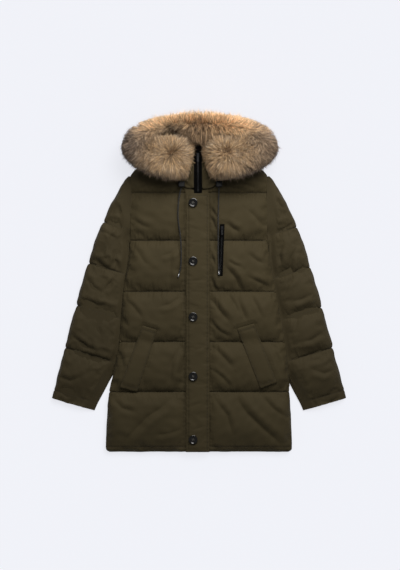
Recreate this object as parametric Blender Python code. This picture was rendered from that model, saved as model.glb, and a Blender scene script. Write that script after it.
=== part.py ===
"""A fur trimmed parka, lying on its back with the front up.

Lengths below are millimetres, turned to metres where a mesh is made. X runs across the coat to the
wearer's left, Y from the hem to the hood, and Z up from the surface that the coat lies on. "right" and
"left" are the wearer's. The cloth is padded: each panel is a slab with an outer skin, which quilting
pulls down along its seams, and a flat inner skin that lies on the next layer.
"""

import math

import bmesh
import bpy
from mathutils import Vector
from mathutils.bvhtree import BVHTree

MM = 0.001
GAP = 0.4  # between two pieces at a seam

# The body, from the hem to the shoulder
LAYER = 21.0  # thickness of the back panel, and height of the slit between back and front
STITCHED = 9.0  # thickness of a front panel along a quilting seam
LOFTED = 20.0  # thickness of a front panel in the middle of a channel
HEM_Y = -521.0
HEM_STITCH_Y = -505.0
HEM_CORNER = 12.0
QUILT_Y = (287.0, 138.0, -21.0, -178.0, -334.0, HEM_STITCH_Y)
ARMHOLE_X = 213.0
UNDERARM_Y = 130.0
SHOULDER_TIP_Y = 342.0
SIDE_ROUND = 40.0  # how far in from a side seam the front takes to reach its loft
OVERHANG = 75.0  # how far in from a side seam the back leaves the surface
TUCK = 18.0  # how far a sleeve reaches under the body
TUCKED_HIGH = 15.5  # height of a sleeve right under the side seam
# Side seams: distance from the middle at a height on the coat
SIDE_RIGHT = ((-521, 291), (-450, 289), (-375, 284), (-319, 279), (-273, 265), (-177, 248), (-22, 235),
              (80, 219), (130, 213))
SIDE_LEFT = ((-521, 291), (-450, 289), (-357, 284), (-276, 280), (-167, 267), (-22, 240), (80, 221),
             (130, 213))
# Neckline and shoulder seam: height on the coat at a distance from the middle
FRONT_TOP = ((0, 296), (12, 296), (34, 298), (50, 305), (70, 332), (90, 375), (120, 381), (160, 376), (195, 363),
             (213, 342))
BACK_TOP = ((0, 372), (60, 374), (90, 379), (120, 381), (160, 376), (195, 363), (213, 342))

# The opening down the front
ZIP_RIGHT_X = -15.5
ZIP_LEFT_X = 9.5
STRIP_RIGHT_X = -46.0  # the fronts are flat between these, under the storm flap
STRIP_LEFT_X = 33.5
STRIP_THICK = 13.0
FLAP_RIGHT_X = -40.0
FLAP_LEFT_X = 33.0
FLAP_TOP_Y = 285.0
FLAP_THICK = 6.0
BUTTON_X = -18.0
BUTTON_Y = (256.0, 74.0, -100.0, -285.0, -482.0)
BUTTON_R = 14.0
BUTTON_THICK = 4.6

# Sleeves, in rows square to the arm
ARM_ANGLE = math.radians(16.5)  # between the arm and the coat's length
CUFF_T = 470.0  # how far along the arm the cuff ends
CUFF_STITCH_T = 444.0
QUILT_T = {"right": (-104.0, 33.0, 170.0, 307.0, CUFF_STITCH_T), "left": (-86.0, 46.0, 177.0, 307.0, CUFF_STITCH_T)}
SLEEVE_STITCHED = 27.0  # height of a sleeve along a quilting seam
SLEEVE_LOFTED = 39.0
SLEEVE_UNDER = 17.0  # thickness of its under layer
SLEEVE_SLIT = 1.0
# Outer edge of a sleeve: place across the arm at a length along it
SLEEVE_OUTER = ((-266, -302), (-248, -315), (-205, -326), (-169, -334), (-120, -342), (-88, -347), (-10, -352),
                (69, -352), (145, -351), (222, -349), (300, -347), (377, -344), (470, -340))
# Inner edge below where it comes out from under the body
SLEEVE_INNER = ((337, -175), (368, -182), (409, -190), (440, -197), (470, -201))

# Collar, hood and fur
COLLAR_HALF = 78.0
COLLAR_SEAM = 1.8  # between the collar and the neckline
COLLAR_TOP_Y = 418.0
COLLAR_BASE_Z = 41.0
COLLAR_TOP_Z = 55.5
HOOD_CENTRE_Y = 425.0
HOOD_HALF_X, HOOD_HALF_Y = 213.0, 92.0
HOOD_FLOOR_Z, HOOD_RIM_Z = 20.0, 57.4
FUR_BASE_Z = 58.0
FUR_TOP_Z = 142.0
FUR_CENTRE = (3.0, 425.0)
FUR_HALF_X, FUR_HALF_Y = 240.0, 106.0
FUR_HOLLOW = (0.0, 461.0, 118.0, 7.0)  # middle x, middle y, half length, half width
FUR_GAP = (-21.0, 15.0)  # the ring's two ends, either side of the zip

# Slanted welt pockets: four corners, top outer, top inner, bottom inner, bottom outer
WELT_RIGHT = ((-176, -126), (-130, -140), (-192, -334), (-247, -320))
WELT_LEFT = ((118, -136), (172, -120), (243, -304), (192, -324))
WELT_THICK = 4.5

# Chest zip
CHEST_ZIP_TOP = (72.5, 189.0)
CHEST_ZIP_FOOT = (66.5, 28.0)
CHEST_ZIP_WIDTH = 15.0
TAPE_THICK = 2.0
CHEST_SLIDER_Y = 176.0
MAIN_SLIDER_Y = 403.0

# Zip hardware
SLIDER = (9.0, 13.0, 4.0)  # across, along and up
BAIL_WIDTH = 2.4
BAIL_POST = 1.4
BAIL_EYE = (4.4, 3.0)  # the bail's opening, along and up
PULL = (6.5, 22.0, 1.6)
PULL_WINDOW = (3.8, 4.8)

# Drawcords, each from its lock to its metal tip
CORD_D = 4.0
TIP_D, TIP_LENGTH = 5.0, 13.0
LOCK = (20.0, 17.0, 11.0)
CORD_RIGHT = ((-54, 304, 45.5), (-57, 294, 44.5), (-60, 282, 43.5), (-62.5, 266, 45.0), (-64, 248, 46.5),
              (-65, 230, 47.0), (-65, 212, 47.0), (-63.5, 194, 46.5), (-61, 176, 45.5), (-58.5, 158, 44.5),
              (-56.5, 140, 43.5), (-55.5, 122, 44.5), (-55, 104, 45.5), (-55, 86, 46.0), (-55.5, 68, 46.0),
              (-57, 52, 46.0), (-61, 37, 45.5))
CORD_LEFT = ((63, 304, 45.5), (62.5, 294, 44.5), (62, 282, 43.5), (61.5, 266, 45.0), (61, 248, 46.5),
             (60.5, 230, 47.5), (60, 212, 48.5), (60, 194, 49.5), (60, 176, 49.5), (60, 158, 49.0),
             (60, 140, 48.5), (60, 122, 48.5), (60, 104, 48.5), (60.5, 86, 48.5), (61, 70, 48.5),
             (61.5, 56, 48.5), (62, 44, 48.5))

MATERIALS = {
    "shell": ((0.058, 0.046, 0.026), 0.72, 0.0),
    "fur": ((0.34, 0.20, 0.11), 0.85, 0.0),
    "zip_tape": ((0.006, 0.006, 0.006), 0.6, 0.0),
    "zip_metal": ((0.10, 0.10, 0.11), 0.35, 1.0),
    "button": ((0.016, 0.012, 0.010), 0.22, 0.0),
    "cord": ((0.016, 0.014, 0.011), 0.7, 0.0),
    "cord_metal": ((0.55, 0.55, 0.56), 0.25, 1.0),
    "lock_plastic": ((0.008, 0.008, 0.008), 0.35, 0.0),
}


def clear_scene():
    for thing in list(bpy.data.objects):
        bpy.data.objects.remove(thing, do_unlink=True)


def material(name):
    """The named material, made the first time it is asked for."""
    made = bpy.data.materials.get(name)
    if made is None:
        colour, roughness, metallic = MATERIALS[name]
        made = bpy.data.materials.new(name)
        made.use_nodes = True
        shader = made.node_tree.nodes["Principled BSDF"]
        shader.inputs["Base Color"].default_value = (*colour, 1.0)
        shader.inputs["Roughness"].default_value = roughness
        shader.inputs["Metallic"].default_value = metallic
        made.diffuse_color = (*colour, 1.0)
    return made


def piece(name, bm, finish, coat):
    """Put a bmesh in millimetres into the scene as a named object, facing out."""
    bmesh.ops.scale(bm, vec=(MM, MM, MM), verts=bm.verts)
    bm.normal_update()
    if bm.calc_volume(signed=True) < 0:
        bmesh.ops.reverse_faces(bm, faces=bm.faces)
    mesh = bpy.data.meshes.new(name)
    bm.to_mesh(mesh)
    bm.free()
    mesh.shade_smooth()
    mesh.set_sharp_from_angle(angle=math.radians(40))
    made = bpy.data.objects.new(name, mesh)
    made.parent = coat
    mesh.materials.append(material(finish))
    bpy.context.scene.collection.objects.link(made)
    return made


def smoothstep(low, high, value):
    share = min(1.0, max(0.0, (value - low) / (high - low)))
    return share * share * (3 - 2 * share)


def mix(a, b, share):
    return a + (b - a) * share


def along(points, at):
    """A smooth curve's value: points are (place, value) in rising order of place."""
    places = [p[0] for p in points]
    values = [p[1] for p in points]
    if at <= places[0]:
        return values[0]
    if at >= places[-1]:
        return values[-1]
    k = next(i for i in range(len(places) - 1) if at <= places[i + 1])

    def slope(i):
        low, high = max(0, i - 1), min(len(places) - 1, i + 1)
        return (values[high] - values[low]) / (places[high] - places[low])

    span = places[k + 1] - places[k]
    s = (at - places[k]) / span
    return ((2 * s**3 - 3 * s**2 + 1) * values[k] + (s**3 - 2 * s**2 + s) * span * slope(k)
            + (3 * s**2 - 2 * s**3) * values[k + 1] + (s**3 - s**2) * span * slope(k + 1))


def slab(outer, inner):
    """A closed slab from two grids of points of the same size, joined round their edge."""
    bm = bmesh.new()
    skins = [[[bm.verts.new(p) for p in row] for row in grid] for grid in (outer, inner)]
    rows, columns = len(outer), len(outer[0])
    for skin, flip in zip(skins, (False, True)):
        for j in range(rows - 1):
            for i in range(columns - 1):
                corners = [skin[j][i], skin[j][i + 1], skin[j + 1][i + 1], skin[j + 1][i]]
                bm.faces.new(corners[::-1] if flip else corners)
    edge = [(0, i) for i in range(columns)] + [(j, columns - 1) for j in range(1, rows)]
    edge += [(rows - 1, i) for i in range(columns - 2, -1, -1)] + [(j, 0) for j in range(rows - 2, 0, -1)]
    for k, (j, i) in enumerate(edge):
        n, m = edge[(k + 1) % len(edge)]
        bm.faces.new([skins[0][n][m], skins[0][j][i], skins[1][j][i], skins[1][n][m]])
    return bm


def spread(lines, steps):
    """Places at every seam in lines, with the given number of steps between each two."""
    places = []
    for a, b in zip(lines, lines[1:]):
        places += [mix(a, b, k / steps) for k in range(steps)]
    return places + [lines[-1]]


def puff(place, lines):
    """0 along a quilting seam and 1 in the middle of a channel."""
    lines = sorted(lines)
    for a, b in zip(lines, lines[1:]):
        if a <= place <= b:
            s = (place - a) / (b - a)
            return (4 * s * (1 - s)) ** 0.55
    return 0.0


def side_x(side, y):
    """Distance of a side seam, or of an armhole above it, from the middle of the coat."""
    if y >= UNDERARM_Y:
        return ARMHOLE_X
    edge = along(SIDE_RIGHT if side == "right" else SIDE_LEFT, y)
    up = y - HEM_Y
    if up < HEM_CORNER:
        edge -= HEM_CORNER - math.sqrt(max(0.0, HEM_CORNER**2 - (HEM_CORNER - up) ** 2))
    return edge


def front_height(side, x, y, top):
    """Thickness of a front panel at a point; top is where its neckline or shoulder seam is."""
    lines = list(QUILT_Y) + [2 * max(top, QUILT_Y[0] + 40) - QUILT_Y[0]]
    loft = puff(y, lines) if y > HEM_STITCH_Y else 0.15 * math.sin(math.pi * (y - HEM_Y) / (HEM_STITCH_Y - HEM_Y))
    near_zip = 1 - 0.6 * math.exp(-(((x - 70) / 26) ** 2)) * smoothstep(8, 40, y) * smoothstep(210, 190, y)
    loft = 1 - (1 - loft) * (near_zip if side == "left" else 1.0)
    high = mix(STITCHED, LOFTED, loft)
    seam = STRIP_RIGHT_X if side == "right" else STRIP_LEFT_X
    away = (seam - x) if side == "right" else (x - seam)
    high = STRIP_THICK if away <= 0 else mix(STITCHED + 1, high, smoothstep(0, 30, away) ** 0.7)
    into = side_x(side, y) - abs(x)
    round_side = math.sqrt(max(0.0, 1 - (1 - min(1.0, into / SIDE_ROUND)) ** 2))
    open_side = smoothstep(UNDERARM_Y + 45, UNDERARM_Y, y)
    at_side = mix(mix(STITCHED, high, smoothstep(0, 34, into)), mix(1.0, high, round_side), open_side)
    below_top = math.sqrt(max(0.0, 1 - (1 - min(1.0, (top - y) / 34)) ** 2)) if abs(x) > 60 else 1.0
    return mix(1.2, at_side, mix(below_top, 1.0, smoothstep(75, 55, abs(x))))


def front_points(side):
    """Outer and inner grids of one front, from the zip to its side seam."""
    sign, start = (-1, -ZIP_RIGHT_X) if side == "right" else (1, ZIP_LEFT_X)
    strip = -STRIP_RIGHT_X if side == "right" else STRIP_LEFT_X
    rows = [HEM_Y, HEM_Y + 4, HEM_Y + 10] + spread(sorted(QUILT_Y), 4)
    heads = [0.2, 0.45, 0.7, 0.85, 0.95, 1.0]
    outer, inner = [], []
    for k in range(len(rows) + len(heads)):
        y = rows[k] if k < len(rows) else None
        edge = side_x(side, y if y is not None else QUILT_Y[0])
        across = [start, strip, strip + 0.5, strip + 7, strip + 14, strip + 22, strip + 32]
        far = edge - 45
        across += [mix(strip + 32, far, s) for s in (0.35, 0.7, 1.0)] + [edge - 26, edge - 12, edge - 4, edge]
        out_row, in_row = [], []
        for a in across:
            top = along(FRONT_TOP, a)
            place = y if y is not None else mix(QUILT_Y[0], top, heads[k - len(rows)])
            x = sign * a
            low = LAYER + GAP
            high = low + front_height(side, x, place, top)
            out_row.append((x, place, high))
            in_row.append((x, place, low))
        outer.append(out_row)
        inner.append(in_row)
    return outer, inner


def back_points():
    """Lower and upper grids of the back, from side seam to side seam."""
    rows = [HEM_Y, HEM_Y + 4, HEM_Y + 12, -450, -360, -290, -200, -100, 0, 80, 130, 150, 175, 300]
    shares = (0, 4, 12, 26, 45, OVERHANG)
    lower, upper = [], []
    for k in range(len(rows) + 2):
        y = rows[k] if k < len(rows) else None
        low_row, up_row = [], []
        right, left = (side_x(s, y if y is not None else 300) for s in ("right", "left"))
        across = [-right + s for s in shares] + [-112, -90, -60, 0, 60, 90, 112] + [left - s for s in reversed(shares)]
        for x in across:
            place = y if y is not None else mix(rows[-1], along(BACK_TOP, abs(x)), (0.55, 1.0)[k - len(rows)])
            into = (right if x < 0 else left) - abs(x)
            lift = (LAYER - 1.0) * max(0.0, 1 - into / OVERHANG) ** 1.6
            lift *= smoothstep(175, 140, place)
            lift = max(lift, 5.0 * max(0.0, 1 - (place - HEM_Y) / 10))
            low_row.append((x, place, lift))
            up_row.append((x, place, LAYER))
        lower.append(low_row)
        upper.append(up_row)
    return lower, upper


def arm_place(sign, t, w):
    """A point on the plan from its length along an arm and its place across it."""
    a = t * math.sin(ARM_ANGLE) - w * math.cos(ARM_ANGLE)
    y = -t * math.cos(ARM_ANGLE) - w * math.sin(ARM_ANGLE)
    return sign * a, y


def arm_coordinates(a, y):
    """Length along an arm, and place across it, of a point at distance a from the middle."""
    return (a * math.sin(ARM_ANGLE) - y * math.cos(ARM_ANGLE), -a * math.cos(ARM_ANGLE) - y * math.sin(ARM_ANGLE))


def sleeve_inner_edge(side):
    """Inner edge of a sleeve: along the armhole, then tucked under the body, then free."""
    points = [arm_coordinates(ARMHOLE_X + GAP, y) for y in (SHOULDER_TIP_Y, 290, 240, 190, UNDERARM_Y)]
    for y in (90, 30, -22, -100, -165, -225):
        tuck = TUCK * smoothstep(UNDERARM_Y, 60, y)
        points.append(arm_coordinates(side_x(side, y) - tuck + GAP, y))
    return points + [p for p in SLEEVE_INNER if p[0] > points[-1][0]]


def sleeve_points(side):
    """Outer and inner skins of a sleeve: one panel folded round the arm, with its seam under the arm."""
    sign = -1 if side == "right" else 1
    inner_edge = sleeve_inner_edge(side)
    lines = list(QUILT_T[side])
    start = inner_edge[0][0] + 8
    rows = [start, start + 12, start + 40] + [mix(start + 40, lines[0], s) for s in (0.4, 0.75)]
    rows += spread(lines, 4) + [CUFF_T - 14, CUFF_T - 4, CUFF_T]
    underarm_t = arm_coordinates(ARMHOLE_X, UNDERARM_Y)[0]
    outer, inner = [], []
    for t in rows:
        w_out, w_in = along(SLEEVE_OUTER, t), along(inner_edge, t)
        width = w_in - w_out
        loft = puff(t, [2 * start - lines[0]] + lines) if t < lines[-1] else 0.15
        crown = mix(SLEEVE_STITCHED, SLEEVE_LOFTED, loft)
        sewn = smoothstep(underarm_t, underarm_t - 50, t)  # 1 along the armhole, 0 under the body
        seam_z = LAYER + GAP + STITCHED
        out_row, in_row = [], []

        def skin(share, z, inner_share, inner_z):
            for row, s, height in ((out_row, share, z), (in_row, inner_share, inner_z)):
                x, y = arm_place(sign, t, w_in - width * s)
                row.append((x, y, height))

        wall = SLEEVE_UNDER + SLEEVE_SLIT
        fit = min(1.0, width / 130)  # the rows at the top of the arm are narrow
        for far in [fit * d for d in (0, 4, 12, TUCK, 32, 52)] + [0.5 * width] + [width - fit * d for d in (40, 22, 9)]:
            free = 5 + (TUCKED_HIGH - 5) * (min(far, TUCK) / TUCK) ** 0.75
            free += (crown - TUCKED_HIGH) * (1 - math.exp(-max(0.0, far - TUCK) / 20))
            sewn_z = mix(seam_z, crown, smoothstep(0, 40, far))
            z = mix(free, sewn_z, sewn)
            from_edge = width - far
            z = mix(SLEEVE_UNDER, z, math.sqrt(max(0.0, 1 - (1 - min(1.0, from_edge / 34)) ** 2)))
            low = mix(min(wall, 0.55 * z), wall, smoothstep(0, 50, far))
            low = mix(low, LAYER + GAP, sewn * smoothstep(40, 0, far))
            inside = min(far, width - 12 * fit) / width
            skin(far / width, z, inside, min(low, z - 1.5))
        skin(1.0, SLEEVE_UNDER, 1 - 9 * fit / width, SLEEVE_UNDER + SLEEVE_SLIT / 2)
        for from_edge, height in ((2, 9), (8, 2.5), (18, 0)):
            share = 1 - fit * from_edge / width
            skin(share, height, min(share, 1 - 12 * fit / width), SLEEVE_UNDER)
        for share in (0.5, 0.25, 0.08):
            top = mix(min(SLEEVE_UNDER, 3.8), SLEEVE_UNDER, smoothstep(0, 50, share * width))
            top = mix(top, LAYER, sewn * smoothstep(40, 0, share * width))
            skin(share, 0, share, top)
        end = mix(3.6, LAYER, sewn)
        skin(mix(0.012, 0.0, sewn), mix(2.0, 0.0, sewn), mix(0.012, 0.0, sewn), end)
        outer.append(out_row)
        inner.append(in_row)
    return outer, inner


def collar_points():
    """Outer and inner skins of the collar: a band from one side of the zip round to the other."""
    ledge = (-ZIP_RIGHT_X, 30, 46, 58, 68)
    rows = (0, 0.2, 0.45, 0.75, 1.0)
    outer, inner = [], []
    for share in rows:
        out_row, in_row = [], []

        def add(x, z, inner_x, inner_z):
            for row, px, pz in ((out_row, x, z), (in_row, inner_x, inner_z)):
                base = along(FRONT_TOP, min(abs(px), COLLAR_HALF)) + COLLAR_SEAM
                row.append((px, mix(base, COLLAR_TOP_Y, share), pz))

        rise = smoothstep(0, 0.5, share)
        top = mix(COLLAR_BASE_Z, COLLAR_TOP_Z, rise)
        under = top - mix(10.0, 11.0, rise)
        back = under - 1.5
        low = LAYER + GAP
        for a in ledge:
            x = -a
            add(x, top - (3 if a == ledge[-1] else 0), x, under)
        add(-COLLAR_HALF, mix(low, top, 0.6), -66, under)
        add(-COLLAR_HALF + 3, low + 2, -66, back)
        for x in (-66, -58, -46, -30, -12, 12, 30, 46, 58, 66):
            add(x, low, x, back)
        add(COLLAR_HALF - 3, low + 2, 66, back)
        add(COLLAR_HALF, mix(low, top, 0.6), 66, under)
        for a in (68, 58, 46, 30, ZIP_LEFT_X):
            add(a, top - (3 if a == 68 else 0), a, under)
        outer.append(out_row)
        inner.append(in_row)
    return outer, inner


def hood_points():
    """Lower and upper grids of the hood, which lies behind the collar inside the ring of fur."""
    lower, upper = [], []
    columns = [HOOD_HALF_X * 0.97 * math.sin(math.pi / 2 * k / 9) for k in range(-9, 10)]
    for share in (0, 0.04, 0.12, 0.25, 0.4, 0.55, 0.7, 0.82, 0.92, 0.98, 1.0):
        low_row, up_row = [], []
        for x in columns:
            half = HOOD_HALF_Y * math.sqrt(1 - (x / HOOD_HALF_X) ** 2)
            foot = max(along(BACK_TOP, min(abs(x), ARMHOLE_X)) + 2.0, HOOD_CENTRE_Y - half + 2.0)
            y = mix(foot, HOOD_CENTRE_Y + half, share)
            out = math.hypot(x / HOOD_HALF_X, (y - HOOD_CENTRE_Y) / HOOD_HALF_Y)
            rim = smoothstep(0.5, 0.8, out)
            rim *= max(smoothstep(428, 446, y), smoothstep(COLLAR_HALF + 4, COLLAR_HALF + 28, abs(x)))
            end = min(1.0, share / 0.04, (1 - share) / 0.06, (HOOD_HALF_X * 0.97 - abs(x)) / 12 + 0.05)
            end = math.sqrt(max(0.0, end))
            middle = 10.0
            low_row.append((x, y, mix(middle, 0.0, end)))
            up_row.append((x, y, mix(middle + 4, mix(HOOD_FLOOR_Z, HOOD_RIM_Z, rim), end)))
        lower.append(low_row)
        upper.append(up_row)
    return lower, upper


def fur_ring():
    """The fur round the hood's opening: a fat ring, open at the zip, with its ends rounded."""
    middle_x, middle_y, half_length, half_width = FUR_HOLLOW
    sides = 10
    stations = []
    for k in range(41):
        angle = math.radians(-90 + 7 + (360 - 14) * k / 40)
        out = (FUR_CENTRE[0] + FUR_HALF_X * math.cos(angle), FUR_CENTRE[1] + FUR_HALF_Y * math.sin(angle))
        into = (middle_x + half_length * math.cos(angle), middle_y + half_width * math.sin(angle))
        stations.append((out, into))
    rings = []
    last = len(stations) - 1
    for k, (out, into) in enumerate(stations):
        size = min(1.0, 0.55 + 0.225 * min(k, last - k))
        centre = ((out[0] + into[0]) / 2, (out[1] + into[1]) / 2)
        half = size * math.hypot(out[0] - into[0], out[1] - into[1]) / 2
        flat = ((out[0] - into[0]) / 2 * size, (out[1] - into[1]) / 2 * size)
        up = (FUR_TOP_Z - FUR_BASE_Z) / 2 * size * min(1.0, 0.55 + half / 110)
        ring = []
        for s in range(sides):
            turn = 2 * math.pi * s / sides
            c, n = math.cos(turn), math.sin(turn)
            level = n / math.cos(math.pi / sides)  # -1 on the flat underside
            ring.append((centre[0] + flat[0] * c, centre[1] + flat[1] * c, FUR_BASE_Z + up * (1 + level)))
        rings.append(ring)
    for end, gap in ((0, FUR_GAP[1]), (last, FUR_GAP[0])):
        reach = [p[0] for p in rings[end]]
        shift = gap - (min(reach) if end == 0 else max(reach))
        rings[end] = [(x + shift, y, z) for x, y, z in rings[end]]
    bm = bmesh.new()
    loops = [[bm.verts.new(p) for p in ring] for ring in rings]
    for a, b in zip(loops, loops[1:]):
        for s in range(sides):
            n = (s + 1) % sides
            bm.faces.new([a[s], a[n], b[n], b[s]])
    bm.faces.new(loops[0][::-1])
    bm.faces.new(loops[-1])
    return bm


def surface_of(pieces):
    """A function that gives the highest point of some pieces at a place on the plan, in millimetres."""
    trees = []
    for thing in pieces:
        bm = bmesh.new()
        bm.from_mesh(thing.data)
        trees.append(BVHTree.FromBMesh(bm))
        bm.free()

    def height(x, y):
        hits = [tree.ray_cast(Vector((x * MM, y * MM, 1.0)), Vector((0, 0, -1)))[0] for tree in trees]
        return max((hit.z / MM for hit in hits if hit is not None), default=0.0)

    return height


def highest_near(height, x, y, reach):
    steps = (-1, -0.5, 0, 0.5, 1)
    return max(height(x + reach * i, y + reach * j) for i in steps for j in steps)


def lying_on(height, corners, columns, rows, thick, reach=9.0, soft_edge=1.5):
    """A flat piece between four corners, made from the points of what it lies on, moved out."""
    (ax, ay), (bx, by), (cx, cy), (dx, dy) = corners
    outer, inner = [], []
    for j in range(rows + 1):
        v = j / rows
        out_row, in_row = [], []
        for i in range(columns + 1):
            u = i / columns
            x = mix(mix(ax, bx, u), mix(dx, cx, u), v)
            y = mix(mix(ay, by, u), mix(dy, cy, u), v)
            low = highest_near(height, x, y, reach) + GAP
            at_edge = i in (0, columns) or j in (0, rows)
            out_row.append((x, y, low + thick - (soft_edge if at_edge else 0)))
            in_row.append((x, y, low))
        outer.append(out_row)
        inner.append(in_row)
    return slab(outer, inner)


def main_zip_points():
    """The closed main zip: under the flap, then up the collar."""
    places = [HEM_Y + 3, -200, 150, 286, 291] + [mix(297, COLLAR_TOP_Y, s) for s in (0.1, 0.25, 0.45, 0.75, 1.0)]
    outer, inner = [], []
    for y in places:
        rise = smoothstep(0, 0.5, (y - 296) / (COLLAR_TOP_Y - 296)) if y > 296 else 0.0
        top = mix(COLLAR_BASE_Z, COLLAR_TOP_Z, rise) - 3.5
        top = mix(LAYER + STRIP_THICK - 1.0, top, smoothstep(286, 302, y))
        out_row, in_row = [], []
        for x in (ZIP_RIGHT_X + GAP, -7, 1, ZIP_LEFT_X - GAP):
            teeth = 1.2 if -8 < x < 2 else 0.0
            out_row.append((x, y, top + teeth))
            in_row.append((x, y, top - TAPE_THICK))
        outer.append(out_row)
        inner.append(in_row)
    return outer, inner


def flap_points():
    """The storm flap, flat over the zip from the neck to the hem."""
    low = LAYER + GAP + STRIP_THICK + GAP
    rows = [HEM_Y + 1, HEM_Y + 6] + [mix(HEM_Y + 30, FLAP_TOP_Y - 30, k / 12) for k in range(13)]
    rows += [FLAP_TOP_Y - 5, FLAP_TOP_Y]
    across = [(FLAP_RIGHT_X, 0.45), (FLAP_RIGHT_X + 3, 0.85), (FLAP_RIGHT_X + 10, 1.0), (BUTTON_X, 1.0),
              (8, 1.0), (FLAP_LEFT_X - 7, 0.8), (FLAP_LEFT_X - 3, 0.75), (FLAP_LEFT_X, 0.3)]
    outer = [[(x, y, low + FLAP_THICK * share * (0.6 if j in (0, len(rows) - 1) else 1.0)) for x, share in across]
             for j, y in enumerate(rows)]
    inner = [[(x, y, low) for x, _ in across] for y in rows]
    return outer, inner


def turned(profile, segments):
    """A solid turned about Z from a profile of (radius, height) that starts and ends on the axis."""
    bm = bmesh.new()
    verts = [bm.verts.new((r, 0, z)) for r, z in profile]
    edges = [bm.edges.new(pair) for pair in zip(verts, verts[1:])]
    bmesh.ops.spin(bm, geom=verts + edges, cent=(0, 0, 0), axis=(0, 0, 1), angle=2 * math.pi, steps=segments,
                   use_merge=True)
    bmesh.ops.remove_doubles(bm, verts=bm.verts, dist=0.0001)
    bmesh.ops.recalc_face_normals(bm, faces=bm.faces)
    return bm


def block(size, centre, bevel=0.0, segments=1):
    """A box of a size in millimetres, with its edges bevelled."""
    bm = bmesh.new()
    bmesh.ops.create_cube(bm, size=1.0)
    bmesh.ops.scale(bm, vec=size, verts=bm.verts)
    if bevel:
        bmesh.ops.bevel(bm, geom=bm.edges, offset=bevel, segments=segments, profile=0.5, affect="EDGES",
                        material=-1)
    bmesh.ops.translate(bm, vec=centre, verts=bm.verts)
    return bm


def cutter(name, bm, coat):
    """A hidden shape for a Boolean."""
    made = piece(name, bm, "zip_metal", coat)
    made.hide_render = True
    made.display_type = "WIRE"
    return made


def boolean(target, tool, operation):
    cut = target.modifiers.new(tool.name, "BOOLEAN")
    cut.operation = operation
    cut.solver = "EXACT"
    cut.object = tool


def button(name, place, coat):
    x, y, z = place
    r, h = BUTTON_R, BUTTON_THICK
    profile = ((0, 0), (r - 1.5, 0), (r, 1.2), (r, h - 1.2), (r - 1.2, h), (r - 3.0, h - 0.2), (r - 4.6, h - 1.5),
               (0, h - 1.5))
    bm = turned(profile, 16)
    bmesh.ops.translate(bm, vec=(x, y, z), verts=bm.verts)
    return piece(name, bm, "button", coat)


def zip_hardware(prefix, x, y, z, coat):
    """A slider standing on a tape at height z, and its pull tab on an empty at the hinge."""
    wide, length, high = SLIDER
    slider = piece(prefix + "_slider", block(SLIDER, (x, y, z + high / 2), bevel=0.8), "zip_metal", coat)
    eye_length, eye_high = BAIL_EYE
    bail_size = (BAIL_WIDTH, eye_length + 2 * BAIL_POST, eye_high + 1.3 + 1.0)
    bail = cutter(prefix + "_bail", block(bail_size, (x, y, z + high - 1.0 + bail_size[2] / 2)), coat)
    eye = cutter(prefix + "_eye", block((wide, eye_length, eye_high), (x, y, z + high + eye_high / 2)), coat)
    boolean(slider, bail, "UNION")
    boolean(slider, eye, "DIFFERENCE")

    hinge = bpy.data.objects.new(prefix + "_hinge", None)
    hinge.location = (x * MM, y * MM, (z + high + eye_high / 2) * MM)
    hinge.parent = coat
    bpy.context.scene.collection.objects.link(hinge)
    pull_wide, pull_length, pull_thick = PULL
    head = pull_thick / 2
    plate = piece(prefix + "_pull", block(PULL, (0, head - pull_length / 2, 0), bevel=0.35), "zip_metal", hinge)
    window = cutter(prefix + "_window", block((PULL_WINDOW[0], PULL_WINDOW[1], 3 * pull_thick),
                                              (0, -head - PULL_WINDOW[1] / 2, 0)), hinge)
    boolean(plate, window, "DIFFERENCE")


def smooth_route(points, spacing):
    """Points along a smooth curve through the given ones, about a spacing apart."""
    route = [Vector(p) for p in points]
    ends = [route[0] * 2 - route[1]] + route + [route[-1] * 2 - route[-2]]
    dense = []
    for k in range(1, len(ends) - 2):
        a, b, c, d = ends[k - 1:k + 3]
        steps = 8
        for s in range(steps):
            t = s / steps
            dense.append(0.5 * (2 * b + (c - a) * t + (2 * a - 5 * b + 4 * c - d) * t**2
                                + (3 * b - a - 3 * c + d) * t**3))
    dense.append(route[-1])
    count = max(2, round(sum((q - p).length for p, q in zip(dense, dense[1:])) / spacing))
    total = sum((q - p).length for p, q in zip(dense, dense[1:]))
    kept, walked, want = [dense[0]], 0.0, total / count
    for p, q in zip(dense, dense[1:]):
        step = (q - p).length
        while walked + step >= want - 1e-6 and len(kept) < count:
            kept.append(p.lerp(q, min(1.0, (want - walked) / step)))
            want += total / count
        walked += step
    return kept + [dense[-1]]


def drawcord(name, route, coat):
    """A cord lying on the front, as a round tube."""
    curve = bpy.data.curves.new(name, "CURVE")
    curve.dimensions = "3D"
    curve.bevel_depth = CORD_D / 2 * MM
    curve.bevel_resolution = 2
    curve.use_fill_caps = True
    points = smooth_route(route, 2.6 * CORD_D)
    spline = curve.splines.new("POLY")
    spline.points.add(len(points) - 1)
    for point, place in zip(spline.points, points):
        point.co = (*(place * MM), 1.0)
    curve.materials.append(material("cord"))
    made = bpy.data.objects.new(name, curve)
    made.parent = coat
    bpy.context.scene.collection.objects.link(made)


def cord_tip(name, route, coat):
    """The metal tip on a cord's free end, lying in line with it."""
    end, before = Vector(route[-1]), Vector(route[-2])
    way = (end - before).normalized()
    r = TIP_D / 2
    bm = turned(((0, 0), (r, 0), (r, TIP_LENGTH - 1), (r - 1, TIP_LENGTH), (0, TIP_LENGTH)), 10)
    bmesh.ops.rotate(bm, matrix=Vector((0, 0, 1)).rotation_difference(way).to_matrix(), verts=bm.verts)
    bmesh.ops.translate(bm, vec=end + way * GAP, verts=bm.verts)
    piece(name, bm, "cord_metal", coat)


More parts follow.
